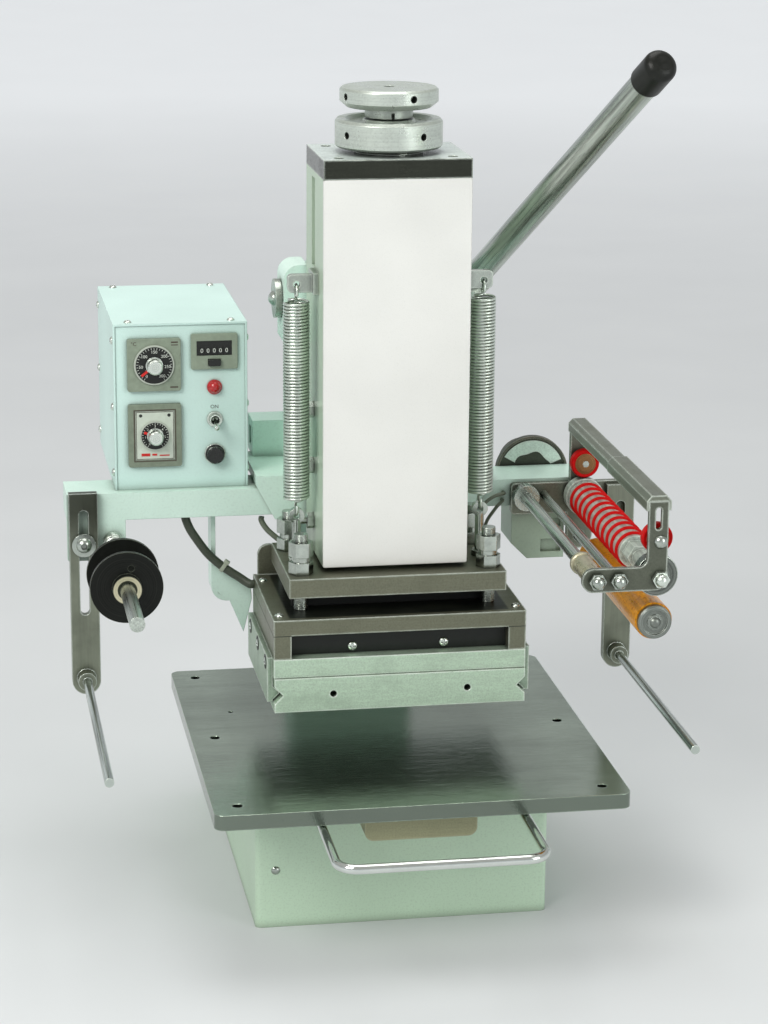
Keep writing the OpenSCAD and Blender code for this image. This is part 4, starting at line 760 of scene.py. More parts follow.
def slab(low, high, bevel=0.0):
    """Block between two corners, with rounded edges."""
    form = bmesh.new()
    bmesh.ops.create_cube(form, size=1.0)
    bmesh.ops.scale(form, vec=Vector(high) - Vector(low), verts=form.verts)
    bmesh.ops.translate(form, vec=(Vector(low) + Vector(high)) / 2, verts=form.verts)
    if bevel:
        bmesh.ops.bevel(form, geom=form.edges[:], offset=bevel, segments=3, profile=0.5, affect="EDGES")
    return as_mesh(form)


def moved(mesh, matrix):
    mesh.transform(matrix)
    return mesh


def facing(x, y, z):
    """Placement that turns +Z toward the operator."""
    return Matrix.Translation((x, y, z)) @ Matrix.Rotation(math.pi / 2, 4, "X")


def joined(meshes, finish_names):
    """One mesh from several, each with its own finish."""
    form = bmesh.new()
    names = []
    for mesh, name in zip(meshes, finish_names):
        if name not in names:
            names.append(name)
        start = len(form.faces)
        form.from_mesh(mesh)
        form.faces.ensure_lookup_table()
        for face in form.faces[start:]:
            face.material_index = names.index(name)
        bpy.data.meshes.remove(mesh)
    made = as_mesh(form)
    for name in names:
        made.materials.append(finish(name))
    return made


def evaluated(obj):
    """Plain mesh of an object as it shows; the object is removed."""
    bpy.context.view_layer.update()
    mesh = bpy.data.meshes.new_from_object(obj.evaluated_get(bpy.context.evaluated_depsgraph_get()))
    bpy.data.objects.remove(obj)
    return mesh


def new_tree(name, **inputs):
    """A geometry tree with named inputs: the tree, its graph and the sockets that it is given."""
    tree = bpy.data.node_groups.new(name, "GeometryNodeTree")
    for label, kind in {"Geometry": "Geometry", **inputs, "Material": "Material"}.items():
        tree.interface.new_socket(label, in_out="INPUT", socket_type="NodeSocket" + kind)
    tree.interface.new_socket("Geometry", in_out="OUTPUT", socket_type="NodeSocketGeometry")
    graph = Graph(tree)
    return tree, graph, graph.node("NodeGroupInput").outputs


def close_tree(graph, last, given):
    """Ends a tree in real geometry with its material."""
    real = graph.node("GeometryNodeRealizeInstances", {"Geometry": last}).outputs["Geometry"]
    coat = graph.node("GeometryNodeSetMaterial", {"Geometry": real, "Material": given["Material"]})
    graph.node("NodeGroupOutput", {"Geometry": coat.outputs["Geometry"]})


@cache
def wire_tree():
    """Draws a round wire along the edges of a mesh."""
    tree, graph, given = new_tree("drawn_wire", Radius="Float", Sides="Int")
    curve = graph.node("GeometryNodeMeshToCurve", {"Mesh": given["Geometry"]}).outputs["Curve"]
    section = graph.node("GeometryNodeCurvePrimitiveCircle", {
        "Resolution": given["Sides"], "Radius": given["Radius"]}).outputs["Curve"]
    sweep = graph.node("GeometryNodeCurveToMesh", {
        "Curve": curve, "Profile Curve": section, "Fill Caps": True}).outputs["Mesh"]
    close_tree(graph, graph.node("GeometryNodeSetShadeSmooth", {"Geometry": sweep}).outputs["Geometry"], given)
    return tree


@cache
def placing_tree():
    """Sets one form on each point, its +Z along the point's aim."""
    tree, graph, given = new_tree("placed_forms", Form="Object", Size="Float")
    form = graph.node("GeometryNodeObjectInfo", {"Object": given["Form"]}).outputs["Geometry"]
    aim = graph.node("GeometryNodeInputNamedAttribute", {"Name": "aim"}, data_type="FLOAT_VECTOR").outputs["Attribute"]
    turn = graph.node("FunctionNodeAlignRotationToVector", {"Vector": aim}, axis="Z").outputs["Rotation"]
    place = graph.node("GeometryNodeInstanceOnPoints", {
        "Points": given["Geometry"], "Instance": form, "Rotation": turn, "Scale": given["Size"]})
    close_tree(graph, place.outputs["Instances"], given)
    return tree


def grown(tree, mesh, finish_name, **values):
    """Plain mesh that a geometry tree makes from a mesh."""
    seed = linked("seed", mesh)
    modifier = seed.modifiers.new("grow", "NODES")
    modifier.node_group = tree
    identifiers = {item.name: item.identifier for item in tree.interface.items_tree
                   if item.item_type == "SOCKET" and item.in_out == "INPUT"}
    for name, value in dict(values, material=finish(finish_name)).items():
        modifier[identifiers[name.title()]] = value
    made = evaluated(seed)
    bpy.data.meshes.remove(mesh)
    return made


def wire(paths, radius, finish_name, sides):
    """Round wire along open lines."""
    points, edges = [], []
    for path in paths:
        start = len(points)
        points.extend(tuple(p) for p in path)
        edges.extend((start + i, start + i + 1) for i in range(len(path) - 1))
    mesh = bpy.data.meshes.new("path")
    mesh.from_pydata(points, edges, [])
    return grown(wire_tree(), mesh, finish_name, radius=radius, sides=sides)


def placed(form, points, aims, finish_name, size=1.0):
    """One mesh with a form on each point, facing the point's aim."""
    mesh = bpy.data.meshes.new("points")
    mesh.from_pydata([tuple(p) for p in points], [], [])
    aim = mesh.attributes.new("aim", "FLOAT_VECTOR", "POINT")
    aim.data.foreach_set("vector", np.array([tuple(a) for a in aims], np.float32).ravel())
    holder = linked("form", form)
    made = grown(placing_tree(), mesh, finish_name, form=holder, size=size)
    bpy.data.objects.remove(holder)
    bpy.data.meshes.remove(form)
    return made


def metres(route):
    """Points of a route that is given in millimetres."""
    return [Vector(p) * MM for p in route]


def smooth_path(points):
    """Rounded line through given points."""
    steps = 8
    p = np.array(points, float)
    p = np.vstack([2 * p[0] - p[1], p, 2 * p[-1] - p[-2]])
    line = []
    for i in range(1, len(p) - 2):
        for t in np.linspace(0, 1, steps, endpoint=False):
            line.append(0.5 * (2 * p[i] + (p[i + 1] - p[i - 1]) * t
                               + (2 * p[i - 1] - 5 * p[i] + 4 * p[i + 1] - p[i + 2]) * t ** 2
                               + (3 * p[i] - p[i - 1] - 3 * p[i + 1] + p[i + 2]) * t ** 3))
    line.append(p[-2])
    return line


def figures(text, height, x, y, z):
    """Printed figures facing the operator, centred on a point."""
    curve = bpy.data.curves.new("figures", "FONT")
    curve.body = text
    curve.size = height * 1.4
    curve.align_x = curve.align_y = "CENTER"
    curve.extrude = 0.0001
    curve.resolution_u = 3
    mesh = evaluated(linked("figures", curve))
    bpy.data.curves.remove(curve)
    mesh.materials.clear()
    return moved(mesh, facing(x, y, z))


def cut(mesh, cutter):
    """A mesh with another taken out of it."""
    body, tool = linked("body", mesh), linked("tool", cutter)
    modifier = body.modifiers.new("cut", "BOOLEAN")
    modifier.operation = "DIFFERENCE"
    modifier.object = tool
    modifier.solver = "EXACT"
    modifier.use_self = True
    made = evaluated(body)
    bpy.data.objects.remove(tool)
    for spare in (mesh, cutter):
        bpy.data.meshes.remove(spare)
    return made


def helix(x, y, low, high, radius, pitch):
    """Line that winds up a stud."""
    steps = 24
    count = int(steps * (high - low) / pitch)
    return [(x + radius * math.cos(2 * math.pi * k / steps), y + radius * math.sin(2 * math.pi * k / steps),
             low + (high - low) * k / count) for k in range(count + 1)]


class FOILPRESS_OT_castings(bpy.types.Operator):
    """Paints the castings, the beam, the cover and the control box"""

    bl_idname = "foilpress.castings"
    bl_label = "Painted castings"

    def execute(self, context):
        dress(casting="frame_column cross_beam", casing="head_casing feed_housing", base="base_casting",
              cover="front_cover", box="box_cover box_chassis")
        return {"FINISHED"}


class FOILPRESS_OT_plates(bpy.types.Operator):
    """Gives the plates, the rods and the table their metal finishes"""

    bl_idname = "foilpress.plates"
    bl_label = "Plates and rods"

    def execute(self, context):
        dress(plate="adapter_plate chase_plate ram", rail="chase_rails", dark="head_plate", hot="hot_plate",
              side="far_plate", near="near_plate", tab="spring_tabs", cover_bar="cover_bar", left_bar="left_guide",
              right_bar="right_guide", cap="cap_plate", table="table_plate", key="slide_key", chrome="table_handle",
              ties="tie_rods", bolt="frame_bolts", bright="toggle_lever", stud="levelling_studs gib_set",
              pivot="cross_shaft sector_gear lever_hub", shaft="reel_shaft", roller="feed_roller",
              arbor="rewind_arbor", fittings="panel_fittings", lever="lever_rod", wheel="stroke_wheel lock_wheel",
              black_metal="heater_block", motor="feed_motor", board="insulation_board")
        return {"FINISHED"}


class FOILPRESS_OT_mouldings(bpy.types.Operator):
    """Gives the plastic, rubber and tube pieces their finishes"""

    bl_idname = "foilpress.mouldings"
    bl_label = "Mouldings"

    def rings(self, thick):
        """Round rubber rings along the feed roller, fuller than the solid's own."""
        low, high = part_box("roller_rings")
        solid, count = 0.0014, 11
        seat = (high.x - low.x) / 2 - solid
        turns = np.radians(np.linspace(0, 360, 17))
        ring = turned([(seat + thick * math.cos(a), thick * math.sin(a)) for a in turns], 80)
        points = [((low.x + high.x) / 2, y, (low.z + high.z) / 2)
                  for y in np.linspace(low.y + solid, high.y - solid, count)]
        obj = piece("rubber_rings", placed(ring, points, [BACK] * count, "ring"), smooth=60)
        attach(obj, "feed_roller_unit")
        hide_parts("roller_rings")

    def execute(self, context):
        dress(temp="temp_controller", timer="timer_unit", bezel="counter_unit", black="reset_button",
              temp_knob="temp_dial", timer_knob="timer_dial", lens="pilot_lamp", grip="lever_grip",
              ring="pinch_far pinch_near", roll="rewind_core", disc="foil_reel")
        self.rings(context.scene.press_sizes.ring_radius)
        return {"FINISHED"}


class FOILPRESS_OT_springs(bpy.types.Operator):
    """Winds the two return springs with their end loops"""

    bl_idname = "foilpress.springs"
    bl_label = "Return springs"

    def wound(self, x, y, top, bottom, sizes):
        """Wire line of one spring, from its lower loop to its upper one."""
        r, loop, rise, steps = sizes.spring_radius, sizes.hook_radius, 0.003, 28
        high, low = top - 2 * loop - rise, bottom + 2 * loop + rise
        turn = np.radians(np.arange(-90, 211, 15))
        hook = [(0.0, loop * math.cos(a), loop + loop * math.sin(a)) for a in turn]
        swan = [(r * (1 - t) * math.cos(a), r * (1 - t) * math.sin(a), rise * t)
                for t, a in ((k / 8, math.radians(90 + 22.5 * k)) for k in range(7))]
        up = [(p[0], p[1], high + p[2]) for p in swan] + [(p[0], p[1], high + rise + p[2]) for p in hook]
        down = [(-p[0], p[1], low - p[2]) for p in swan] + [(p[0], p[1], low - rise - p[2]) for p in hook]
        count = steps * sizes.spring_coils
        coil = [(r * math.cos(a), r * math.sin(a), low + (high - low) * k / count)
                for k, a in ((k, math.pi / 2 + 2 * math.pi * k / steps) for k in range(1, count))]
        return [(x + px, y + py, z) for px, py, z in down[::-1] + coil + up]

    def execute(self, context):
        sizes = context.scene.press_sizes
        stock, hooked = 0.0015, 0.016
        for node in ("spring_left", "spring_right"):
            low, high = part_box(node)
            x, y = (low.x + high.x) / 2, (low.y + high.y) / 2
            line = self.wound(x, y, high.z - stock, low.z + stock, sizes)
            spring = piece(node + "_wire", wire([line], sizes.spring_wire, "wire", 10), smooth=0)
            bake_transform(spring)
            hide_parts(node)
        return {"FINISHED"}


class FOILPRESS_OT_cables(bpy.types.Operator):
    """Lays the heater cable and the three thin leads between the beam and the hot plate"""

    bl_idname = "foilpress.cables"
    bl_label = "Cables"

    heater_route = (
        (-173.2, 72, 336.7), (-173.2, 72, 332.2), (-169.5, 71, 322.4), (-163.3, 70, 312.3), (-154.2, 69, 299.5),
        (-145.1, 68, 290.5), (-135.9, 66, 283.4), (-125.8, 62, 277.2), (-118.5, 58, 272.7), (-115.5, 56, 271.7),
        (-112.5, 56, 271.7))
    ground_route = (
        (-104, 66, 332.7), (-104, 66, 328.7), (-99, 64, 320.7), (-90, 61, 312.7), (-81, 59, 304.7),
        (-75, 56.9, 294.7), (-74, 56.9, 286.7), (-74, 56.9, 278.9))
    inner_route = (
        (120, 58, 349.7), (120, 53, 349.7), (115, 50, 349.7), (107, 49, 346.7), (98, 49, 338.7), (91, 51, 324.7),
        (88, 54, 311.7), (88, 55.9, 298.7), (88, 56.9, 286.7), (88, 56.9, 278.9))
    outer_route = (
        (119, 58, 342.7), (119, 54, 342.7), (115, 50, 340.7), (109, 49, 333.7), (104, 51, 324.7), (101, 54, 311.7),
        (99, 55.9, 298.7), (98, 56.9, 286.7), (98, 56.9, 278.9))

    def lay(self, name, route, radius, finish_name, stiffness, pieces=()):
        """One cable from its outlet on the beam to its end on the hot plate."""
        ends = metres(route)
        line = smooth_path(ends)
        obj = piece(name, wire([line], radius, finish_name, 16), smooth=40)
        for part in (obj, *pieces):
            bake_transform(part)
        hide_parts("head_cables")

    def strap(self, route, radius):
        """Plastic tie round the heater cable, with its lock on top."""
        line = smooth_path(metres(route))
        at = len(line) * 5 // 9
        inner, outer, half = radius - 0.0001, radius + 0.0010, 0.0018
        ring = [(inner, -half), (outer, -half), (outer + 0.0002, 0.0), (outer, half), (inner, half), (inner, -half)]
        lock = slab((-0.0024, radius, -0.0026), (0.0024, radius + 0.0034, 0.0026), 0.0005)
        tie = joined([turned(ring, 28), lock], ["tie", "tie"])
        along = Vector(line[at + 1] - line[at]).to_track_quat("Z", "Y").to_matrix().to_4x4()
        return piece("cable_tie", moved(tie, Matrix.Translation(line[at]) @ along), smooth=40)

    def execute(self, context):
        sizes = context.scene.press_sizes
        tie = self.strap(self.heater_route, sizes.cable_radius)
        self.lay("heater_cable", self.heater_route, sizes.cable_radius, "cable", "stiff", [tie])
        self.lay("ground_lead", self.ground_route, sizes.ground_radius, "lead", "medium")
        self.lay("sensor_lead_inner", self.inner_route, sizes.lead_radius, "lead", "limp")
        self.lay("sensor_lead_outer", self.outer_route, sizes.lead_radius, "lead", "limp")
        foot = turned([(0.0, 0.0), (0.0040, 0.0), (0.0040, 0.0035), (0.0034, 0.0042), (0.0030, 0.0042),
                       (0.0028, 0.0080), (0.0, 0.0080)], 6)
        ends = metres(route[-1] for route in (self.ground_route, self.inner_route, self.outer_route))
        feet = piece("lead_terminals", placed(foot, ends, [UP] * 3, "stud"))
        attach(feet, RAM_BODY)
        return {"FINISHED"}


class FOILPRESS_OT_instruments(bpy.types.Operator):
    """Prints the dial scales, the counter wheels and the switch marks"""

    bl_idname = "foilpress.instruments"
    bl_label = "Instruments"

    def mark(self, x, z, width, height, y):
        """Printed bar on a face toward the operator."""
        return slab((x - width / 2, y - 0.00012, z - height / 2), (x + width / 2, y + 0.0002, z + height / 2))

    def outline(self, x, z, width, height, line, y):
        """Printed frame of four bars."""
        return ([self.mark(x, z + s * (height - line) / 2, width, line, y) for s in (-1, 1)]
                + [self.mark(x + s * (width - line) / 2, z, line, height - 2 * line, y) for s in (-1, 1)])

    def finished(self, name, meshes, names):
        made = piece(name, joined(meshes, names), smooth=30)
        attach(made, FRAME_BODY)

    def scale(self, name, unit, radius, numbers, minor, height):
        """Ticks and figures round a dial."""
        centre, front = middle(unit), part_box(unit)[0].y
        share, black = radius / TEMP_SCALE, radius - SCALE_RIM
        steps = minor * (len(numbers) - 1)
        angles = [math.radians(DIAL_START - DIAL_SWEEP * k / steps) for k in range(steps + 1)]

        def spot(a, r):
            return centre.x + r * math.cos(a), front, centre.z + r * math.sin(a)

        half = Vector((0.00017, 0.00015, 0.0009 * share))
        meshes = [placed(slab(-half, half), [spot(a, black - 0.0014 * share) for a in angles],
                         [(math.cos(a), 0, math.sin(a)) for a in angles], "white_print")]
        for k, text in enumerate(numbers):
            meshes.append(figures(text, height, *spot(angles[k * minor], black - 0.0046 * share)))
        self.finished(name, meshes, ["white_print"] * len(meshes))

    def temp_marks(self):
        """Sign and plain bars in the corners of the temperature controller."""
        at, y = middle("temp_controller"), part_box("temp_controller")[0].y + SCALE_THICKNESS
        meshes = [figures("°C", 0.0034, at.x - 0.0182, y, at.z + 0.0195)]
        for x, z, width, height in ((0.0185, 0.0205, 0.0062, 0.0013), (0.0185, 0.0180, 0.0062, 0.0008),
                                    (0.0178, -0.0206, 0.0070, 0.0012)):
            meshes.append(self.mark(at.x + x, at.z + z, width, height, y))
        self.finished("temp_marks", meshes, ["brown_print"] * len(meshes))

    def timer_face(self):
        """Pale sunk face of the timer, with its frames, dots and red bars."""
        at = middle("timer_unit")
        low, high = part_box("timer_unit")
        wall, gap = 0.006, 0.0003
        half, rise = (high.x - low.x) / 2 - wall, (high.z - low.z) / 2 - wall
        flush = low.y + SCALE_THICKNESS
        sunk = flush + 0.001
        top = sunk - gap
        face = slab((at.x - half + gap, top, at.z - rise + gap), (at.x + half - gap, sunk + 0.0001, at.z + rise - gap))
        frames = (self.outline(at.x, at.z, 2 * half + 0.0022, 2 * rise + 0.0022, 0.0008, flush)
                  + self.outline(at.x, at.z, 2 * half - 0.0020, 2 * rise - 0.0020, 0.0005, top))
        dots = [moved(turned([(0.0, 0.0), (0.0015, 0.0), (0.0015, 0.0003), (0.0, 0.0004)], 24),
                      facing(at.x + s * 0.0128, sunk - 0.0002, at.z + 0.0186)) for s in (-1, 1)]
        bars = [self.mark(at.x + x, at.z + z, width, height, top) for x, z, width, height in (
            (-0.0085, -0.0178, 0.0080, 0.0026), (-0.0005, -0.0178, 0.0045, 0.0018), (0.0085, -0.0186, 0.0090, 0.0011))]
        self.finished("timer_face", [face] + frames + dots + bars,
                      ["face"] + ["brown_print"] * 8 + ["black_print"] * 2 + ["red_print"] * 3)

    def counter_wheels(self):
        """Five number wheels in the counter's window."""
        at, floor = middle("counter_unit"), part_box("counter_unit")[0].y + 0.0014
        wheels, pitch, proud = 5, 0.0056, 0.0007
        meshes = [slab((at.x - 0.0159, floor - 0.0002, at.z - 0.0037), (at.x + 0.0159, floor + 0.0001, at.z + 0.0097))]
        for k in range(wheels):
            x = at.x + (k - wheels // 2) * pitch
            drum = slab((x - 0.0025, floor - proud, at.z - 0.0030), (x + 0.0025, floor, at.z + 0.0042), 0.0002)
            meshes += [drum, figures("0", 0.0040, x, floor - proud, at.z + 0.0006)]
        self.finished("counter_wheels", meshes, ["black"] + ["black", "white_print"] * wheels)

    def execute(self, context):
        height = context.scene.press_sizes.figure_height
        self.scale("temp_scale", "temp_controller", TEMP_SCALE, ("0", "50", "100", "150", "200", "250", "300"), 5,
                   height)
        self.scale("timer_scale", "timer_unit", TIMER_SCALE, ("0", "1", "2", "3", "4", "5", "6"), 4, height * 0.8)
        self.temp_marks()
        self.timer_face()
        self.counter_wheels()
        panel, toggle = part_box("box_chassis")[0].y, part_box("toggle_lever")
        x = (toggle[0].x + toggle[1].x) / 2
        self.finished("switch_marks", [figures("ON", 0.0034, x, panel, toggle[1].z + 0.0085)], ["black_print"])
        return {"FINISHED"}


class FOILPRESS_OT_fasteners(bpy.types.Operator):
    """Sets cross-recess screw heads and the threads of the levelling studs"""

    bl_idname = "foilpress.fasteners"
    bl_label = "Screws and threads"

    def screw_form(self, radius, height):
        """Dome head with a cross recess, standing on +Z."""
        rows = [(radius * math.sin(a), height * math.cos(a)) for a in np.radians(np.arange(0, 91, 10))]
        dome = turned([(0.0, height)] + rows[1:] + [(0.0, 0.0)], 32)
        arm, slim, floor = radius * 0.62, radius * 0.15, height * 0.4
        cross = joined([slab((-arm, -slim, floor), (arm, slim, 2 * height)),
                        slab((-slim, -arm, floor), (slim, arm, 2 * height))], ["bright", "bright"])
        return cut(dome, cross)

    def box_screws(self, radius):
        """Screws on the top and the two sides of the control box."""
        low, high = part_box("box_cover")
        points = [(x, y, high.z) for x in (low.x + 0.014, high.x - 0.014) for y in (low.y + 0.008, high.y - 0.008)]
        aims = [UP] * len(points)
        for y in (low.y + 0.009, high.y - 0.009):
            for k in range(3):
                z = low.z + 0.015 + 0.061 * k
                points += [(low.x, y, z), (high.x, y, z)]
                aims += [LEFT, RIGHT]
        heads = piece("box_screw_heads", placed(self.screw_form(radius, 0.0024), points, aims, "bright"))
        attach(heads, FRAME_BODY)
        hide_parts("box_screws")

    def head_screws(self):
        """Screws on the hot plate, the rails and the heater block, with washers on the rails."""
        low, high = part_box("hot_plate")
        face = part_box("levelling_studs")[0].z
        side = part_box("head_screws")[1].x - 0.0026
        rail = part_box("adapter_plate")[0].z + 0.010
        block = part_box("heater_block")[0].z + 0.006
        top = [(x, y, face) for x in (low.x + 0.0065, high.x - 0.0065) for y in (low.y + 0.015, high.y - 0.022)]
        rails = [(s * side, y, rail) for s in (-1, 1)
                 for y in (low.y + 0.020, (low.y + high.y) / 2, high.y - 0.022)]
        front = [(x, low.y + 0.013, block) for x in (-0.041, 0.041)]
        sideways = [LEFT] * 3 + [RIGHT] * 3
        sets = [placed(self.screw_form(0.0044, 0.0026), points, aims, "bright", size) for points, aims, size in (
            (top, [UP] * 4, 0.91), (rails, sideways, 1.0), (front, [FRONT] * 2, 1.02))]
        washer = turned([(0.0044, 0.0008), (0.0066, 0.0008), (0.0066, 0.0013), (0.0062, 0.0016), (0.0044, 0.0016),
                         (0.0044, 0.0008)], 40)
        sets.append(placed(washer, rails, sideways, "black_metal"))
        heads = piece("head_screw_heads", joined(sets, ["bright"] * 3 + ["black_metal"]))
        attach(heads, RAM_BODY)
        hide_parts("head_screws")

    def threads(self, pitch):
        """Thread lines on the bare lengths of the levelling studs, under the head plate and over the nuts."""
        face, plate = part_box("levelling_studs")[0].z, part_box("head_plate")
        studs = [(x, y) for x in (-0.084, 0.084) for y in (-0.050, 0.028)]
        spans = ((face + 0.0004, plate[0].z - 0.0004), (plate[1].z + 0.0293, plate[1].z + 0.0354))
        lines = [helix(x, y, *span, 0.00592, pitch) for x, y in studs for span in spans]
        coil = piece("stud_threads", wire(lines, 0.00045, "stud", 6), smooth=0)
        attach(coil, RAM_BODY)

    def execute(self, context):
        sizes = context.scene.press_sizes
        self.box_screws(sizes.screw_radius)
        self.head_screws()
        self.threads(sizes.thread_pitch)
        return {"FINISHED"}


class FOILPRESS_OT_trim(bpy.types.Operator):
    """Adds the blank motor label, the rod collar, the spacer joints and the faces of the pinch wheels"""

    bl_idname = "foilpress.trim"
    bl_label = "Trim"

    def label(self):
        """Blank label bent round the motor's shaft, with a wavy inner edge."""
        outer, inner, wave, thick = 0.0305, 0.0188, 0.0011, 0.0007
        turns = np.radians(np.linspace(22, 150, 23))
        edge = [(outer, a) for a in turns] + [(inner + wave * math.sin(6 * a), a) for a in turns[::-1]]
        rim = [(r * math.cos(a), r * math.sin(a)) for r, a in edge]
        count, front = len(rim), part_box("feed_motor")[0].y + 0.0009
        points = [(MOTOR_X + px, y, MOTOR_Z + pz) for y in (front, front + thick) for px, pz in rim]
        faces = [(k, (k + 1) % count, count + (k + 1) % count, count + k) for k in range(count)]
        for base in (0, count):
            faces += [(base + k, base + k + 1, base + count - 2 - k, base + count - 1 - k)
                      for k in range(count // 2 - 1)]
        label = piece("motor_label", mesh_from(points, faces), "label")
        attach(label, FRAME_BODY)

    def collar(self):
        """Brass-coloured sleeve on the thicker tie rod, against the near plate's collar."""
        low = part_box("near_plate")[1].y + 0.0158
        ring = [(0.0056, 0.0), (0.0089, 0.0), (0.0089, 0.0300), (0.0098, 0.0306), (0.0101, 0.0320), (0.0101, 0.0345),
                (0.0094, 0.0358), (0.0076, 0.0366), (0.0056, 0.0368), (0.0056, 0.0)]
        place = Matrix.Translation((TIE_X, low, ROLLER_Z)) @ Matrix.Rotation(-math.pi / 2, 4, "X")
        obj = piece("tie_collar", moved(turned(ring, 48), place), "brass")
        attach(obj, FRAME_BODY)

    def joints(self):
        """Dark joint lines between the hot plate and its end spacers."""
        low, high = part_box("hot_plate")
        seam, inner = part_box("heater_block")[1].z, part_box("heater_block")[1].x
        proud, half, deep = 0.00008, 0.0003, 0.001
        lines = []
        for s in (-1, 1):
            ends = sorted((s * inner, s * (high.x + proud)))
            lines.append(slab((ends[0], low.y - proud, seam - half), (ends[1], low.y + deep, seam + half)))
            sides = sorted((s * (high.x - deep), s * (high.x + proud)))
            lines.append(slab((sides[0], low.y, seam - half), (sides[1], high.y, seam + half)))
        obj = piece("spacer_joints", joined(lines, ["black_print"] * 4), smooth=0)
        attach(obj, RAM_BODY)

    def pinch_faces(self, node, body):
        """Brown hubs in both faces of a pinch wheel."""
        low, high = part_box(node)
        x, z = (low.x + high.x) / 2, (low.z + high.z) / 2
        rim, sunk = (high.x - low.x) / 2 - 0.0036, 0.0011
        disc = [(0.0031, 0.0), (rim, 0.0), (rim, 0.0006), (0.0075, 0.0009), (0.0070, 0.0016), (0.0031, 0.0016),
                (0.0031, 0.0)]
        back = facing(x, high.y - sunk, z) @ Matrix.Rotation(math.pi, 4, "X")
        faces = [moved(turned(disc, 40), place) for place in (facing(x, low.y + sunk, z), back)]
        hub = piece(node + "_hub", joined(faces, ["hub", "hub"]))
        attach(hub, body)

    def execute(self, context):
        self.label()
        self.collar()
        self.joints()
        self.pinch_faces("pinch_far", "pinch_far_unit")
        self.pinch_faces("pinch_near", "pinch_near_unit")
        return {"FINISHED"}


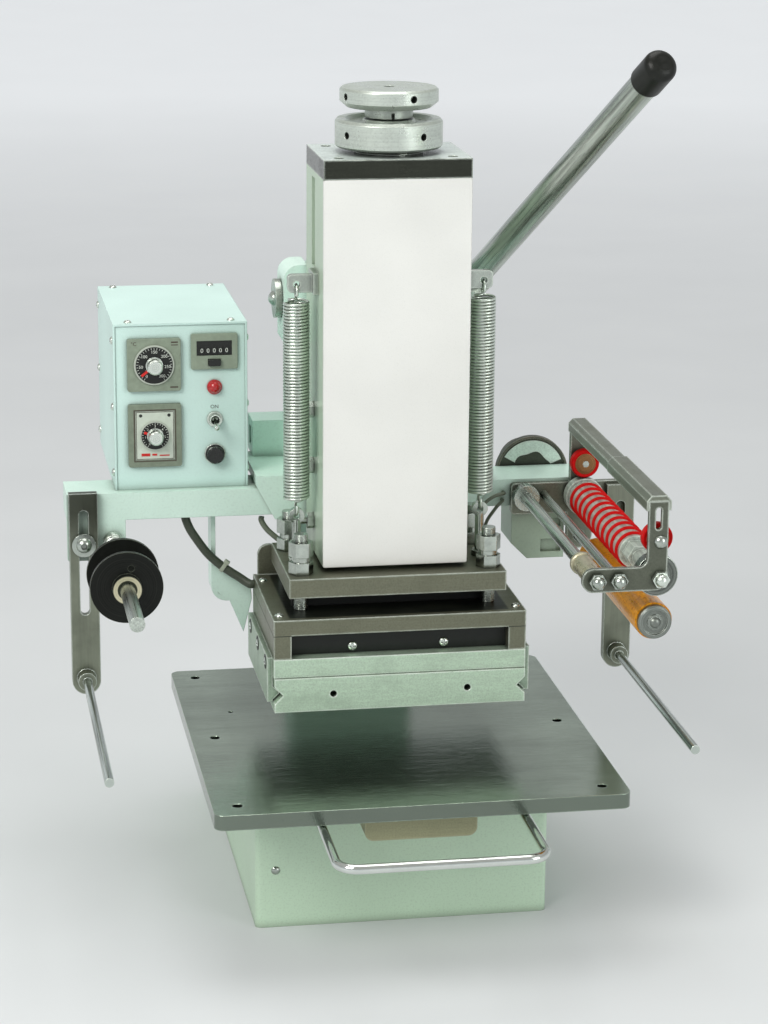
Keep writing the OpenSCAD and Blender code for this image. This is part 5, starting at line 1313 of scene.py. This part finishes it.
class FOILPRESS_OT_stage(bpy.types.Operator):
    """Sets the floor, the lamps, the sky and the camera"""

    bl_idname = "foilpress.stage"
    bl_label = "Stage"

    def lamp(self, name, place, target, size, power, colour):
        light = bpy.data.lights.new(name, "AREA")
        light.shape = "RECTANGLE"
        light.size, light.size_y = size
        light.energy = power
        light.color = colour
        obj = linked(name, light)
        obj.location = place
        obj.rotation_euler = (Vector(target) - Vector(place)).to_track_quat("-Z", "Y").to_euler()

    def floor(self):
        """Pale floor that glows a little far from the press, where the camera sees it."""
        half = 18
        mesh = bpy.data.meshes.new("studio_floor")
        mesh.from_pydata([(-half, -half, 0), (half, -half, 0), (half, half, 0), (-half, half, 0)], [], [(0, 1, 2, 3)])
        f = Finish("studio_floor", roughness=0.7, specular_ior_level=0.1, emission_color=(0.93, 0.96, 1.0))
        f.colour(f.blend(f.ramp(f.noise(3.0, 2.0), 0.3, 0.7), (0.68, 0.70, 0.72), (0.71, 0.73, 0.75)))
        glow = f.ramp(f.away((0, 0, 0), "Z"), 1.0, 6.0, 0.0, 0.44)
        f.feed(f.shader.inputs["Emission Strength"], f.product(glow, f.seen()))
        mesh.materials.append(f.material)
        linked("studio_floor", mesh)

    def sky(self, strength):
        """Plain light from all round, with a pale band at the horizon as the camera sees it."""
        world = bpy.data.worlds.new("studio_sky")
        world.use_nodes = True
        bpy.context.scene.world = world
        graph = Graph(world.node_tree)
        up = graph.part(graph.node("ShaderNodeTexCoord").outputs["Generated"], "Z")
        light = graph.node("ShaderNodeValToRGB", {"Fac": graph.ramp(up, -1.0, 1.0)})
        for stop, place, colour in zip(light.color_ramp.elements, (0.35, 0.85),
                                       ((0.42, 0.46, 0.46, 1), (1.0, 1.0, 0.97, 1))):
            stop.position, stop.color = place, colour
        band = graph.product(graph.ramp(up, 0.2, 0.4, 1.0, 0.0), graph.seen())
        pale = tuple(c / strength for c in (0.66, 0.69, 0.71))
        back = graph.nodes["Background"].inputs
        graph.feed(back["Color"], graph.blend(band, light.outputs["Color"], pale))
        graph.feed(back["Strength"], strength)

    def camera(self, stage):
        """Camera that was fitted to the photograph."""
        data = bpy.data.cameras.new("press_camera")
        data.sensor_width = 36.0
        data.lens = stage.focal_pixels / IMAGE_HEIGHT * data.sensor_width
        data.clip_end = 50.0
        level = Matrix(((1, 0, 0), (0, 0, -1), (0, 1, 0)))
        look = (Matrix.Rotation(stage.camera_roll, 3, "Z") @ Matrix.Rotation(stage.camera_pitch, 3, "X") @ level
                @ Matrix.Rotation(stage.camera_yaw, 3, "Z"))
        turn = look.transposed() @ Matrix.Diagonal((1, -1, -1))
        camera = linked("press_camera", data)
        camera.matrix_world = Matrix.Translation(stage.camera_place) @ turn.to_4x4()
        bpy.context.scene.camera = camera

    def execute(self, context):
        stage = context.scene.press_stage
        self.floor()
        self.sky(stage.sky)
        power = stage.lamp_power
        self.lamp("key_lamp", (-2.0, -1.9, 2.4), (0, 0, 0.4), (1.5, 1.5), power, (1.0, 0.99, 0.95))
        self.lamp("fill_lamp", (1.9, -2.2, 1.3), (0, 0, 0.35), (1.4, 1.8), power * 0.36, (0.97, 1.0, 0.98))
        self.lamp("top_lamp", (0.1, 0.3, 2.7), (0, 0, 0.4), (1.6, 1.6), power * 0.36, (1.0, 1.0, 0.98))
        self.camera(stage)
        context.scene.view_settings.view_transform = "Standard"
        return {"FINISHED"}


OPERATORS = (
    FOILPRESS_OT_castings,
    FOILPRESS_OT_plates,
    FOILPRESS_OT_mouldings,
    FOILPRESS_OT_springs,
    FOILPRESS_OT_cables,
    FOILPRESS_OT_instruments,
    FOILPRESS_OT_fasteners,
    FOILPRESS_OT_trim,
    FOILPRESS_OT_stage,
)
GROUPS = {"press_colours": PressColours, "press_sizes": PressSizes, "press_stage": PressStage}


class FOILPRESS_PT_panel(bpy.types.Panel):
    """Lists the steps that build the looks"""

    bl_idname = "FOILPRESS_PT_panel"
    bl_label = "Foil press"
    bl_space_type = "VIEW_3D"
    bl_region_type = "UI"
    bl_category = "Foil Press"

    def draw(self, context):
        column = self.layout.column(align=True)
        for operator in OPERATORS:
            column.operator(operator.bl_idname)
        for group in GROUPS:
            settings = getattr(context.scene, group)
            box = self.layout.box()
            for name in settings.bl_rna.properties.keys():
                if name not in ("rna_type", "name"):
                    box.prop(settings, name)


CLASSES = (*GROUPS.values(), *OPERATORS, FOILPRESS_PT_panel)


def register():
    for cls in CLASSES:
        bpy.utils.register_class(cls)
    for name, group in GROUPS.items():
        setattr(bpy.types.Scene, name, bpy.props.PointerProperty(type=group))


def unregister():
    for name in GROUPS:
        delattr(bpy.types.Scene, name)
    for cls in reversed(CLASSES):
        bpy.utils.unregister_class(cls)


def main():
    register()
    for operator in OPERATORS:
        group, step = operator.bl_idname.split(".")
        getattr(getattr(bpy.ops, group), step)()
    bpy.context.view_layer.update()


if __name__ == "__main__":
    main()
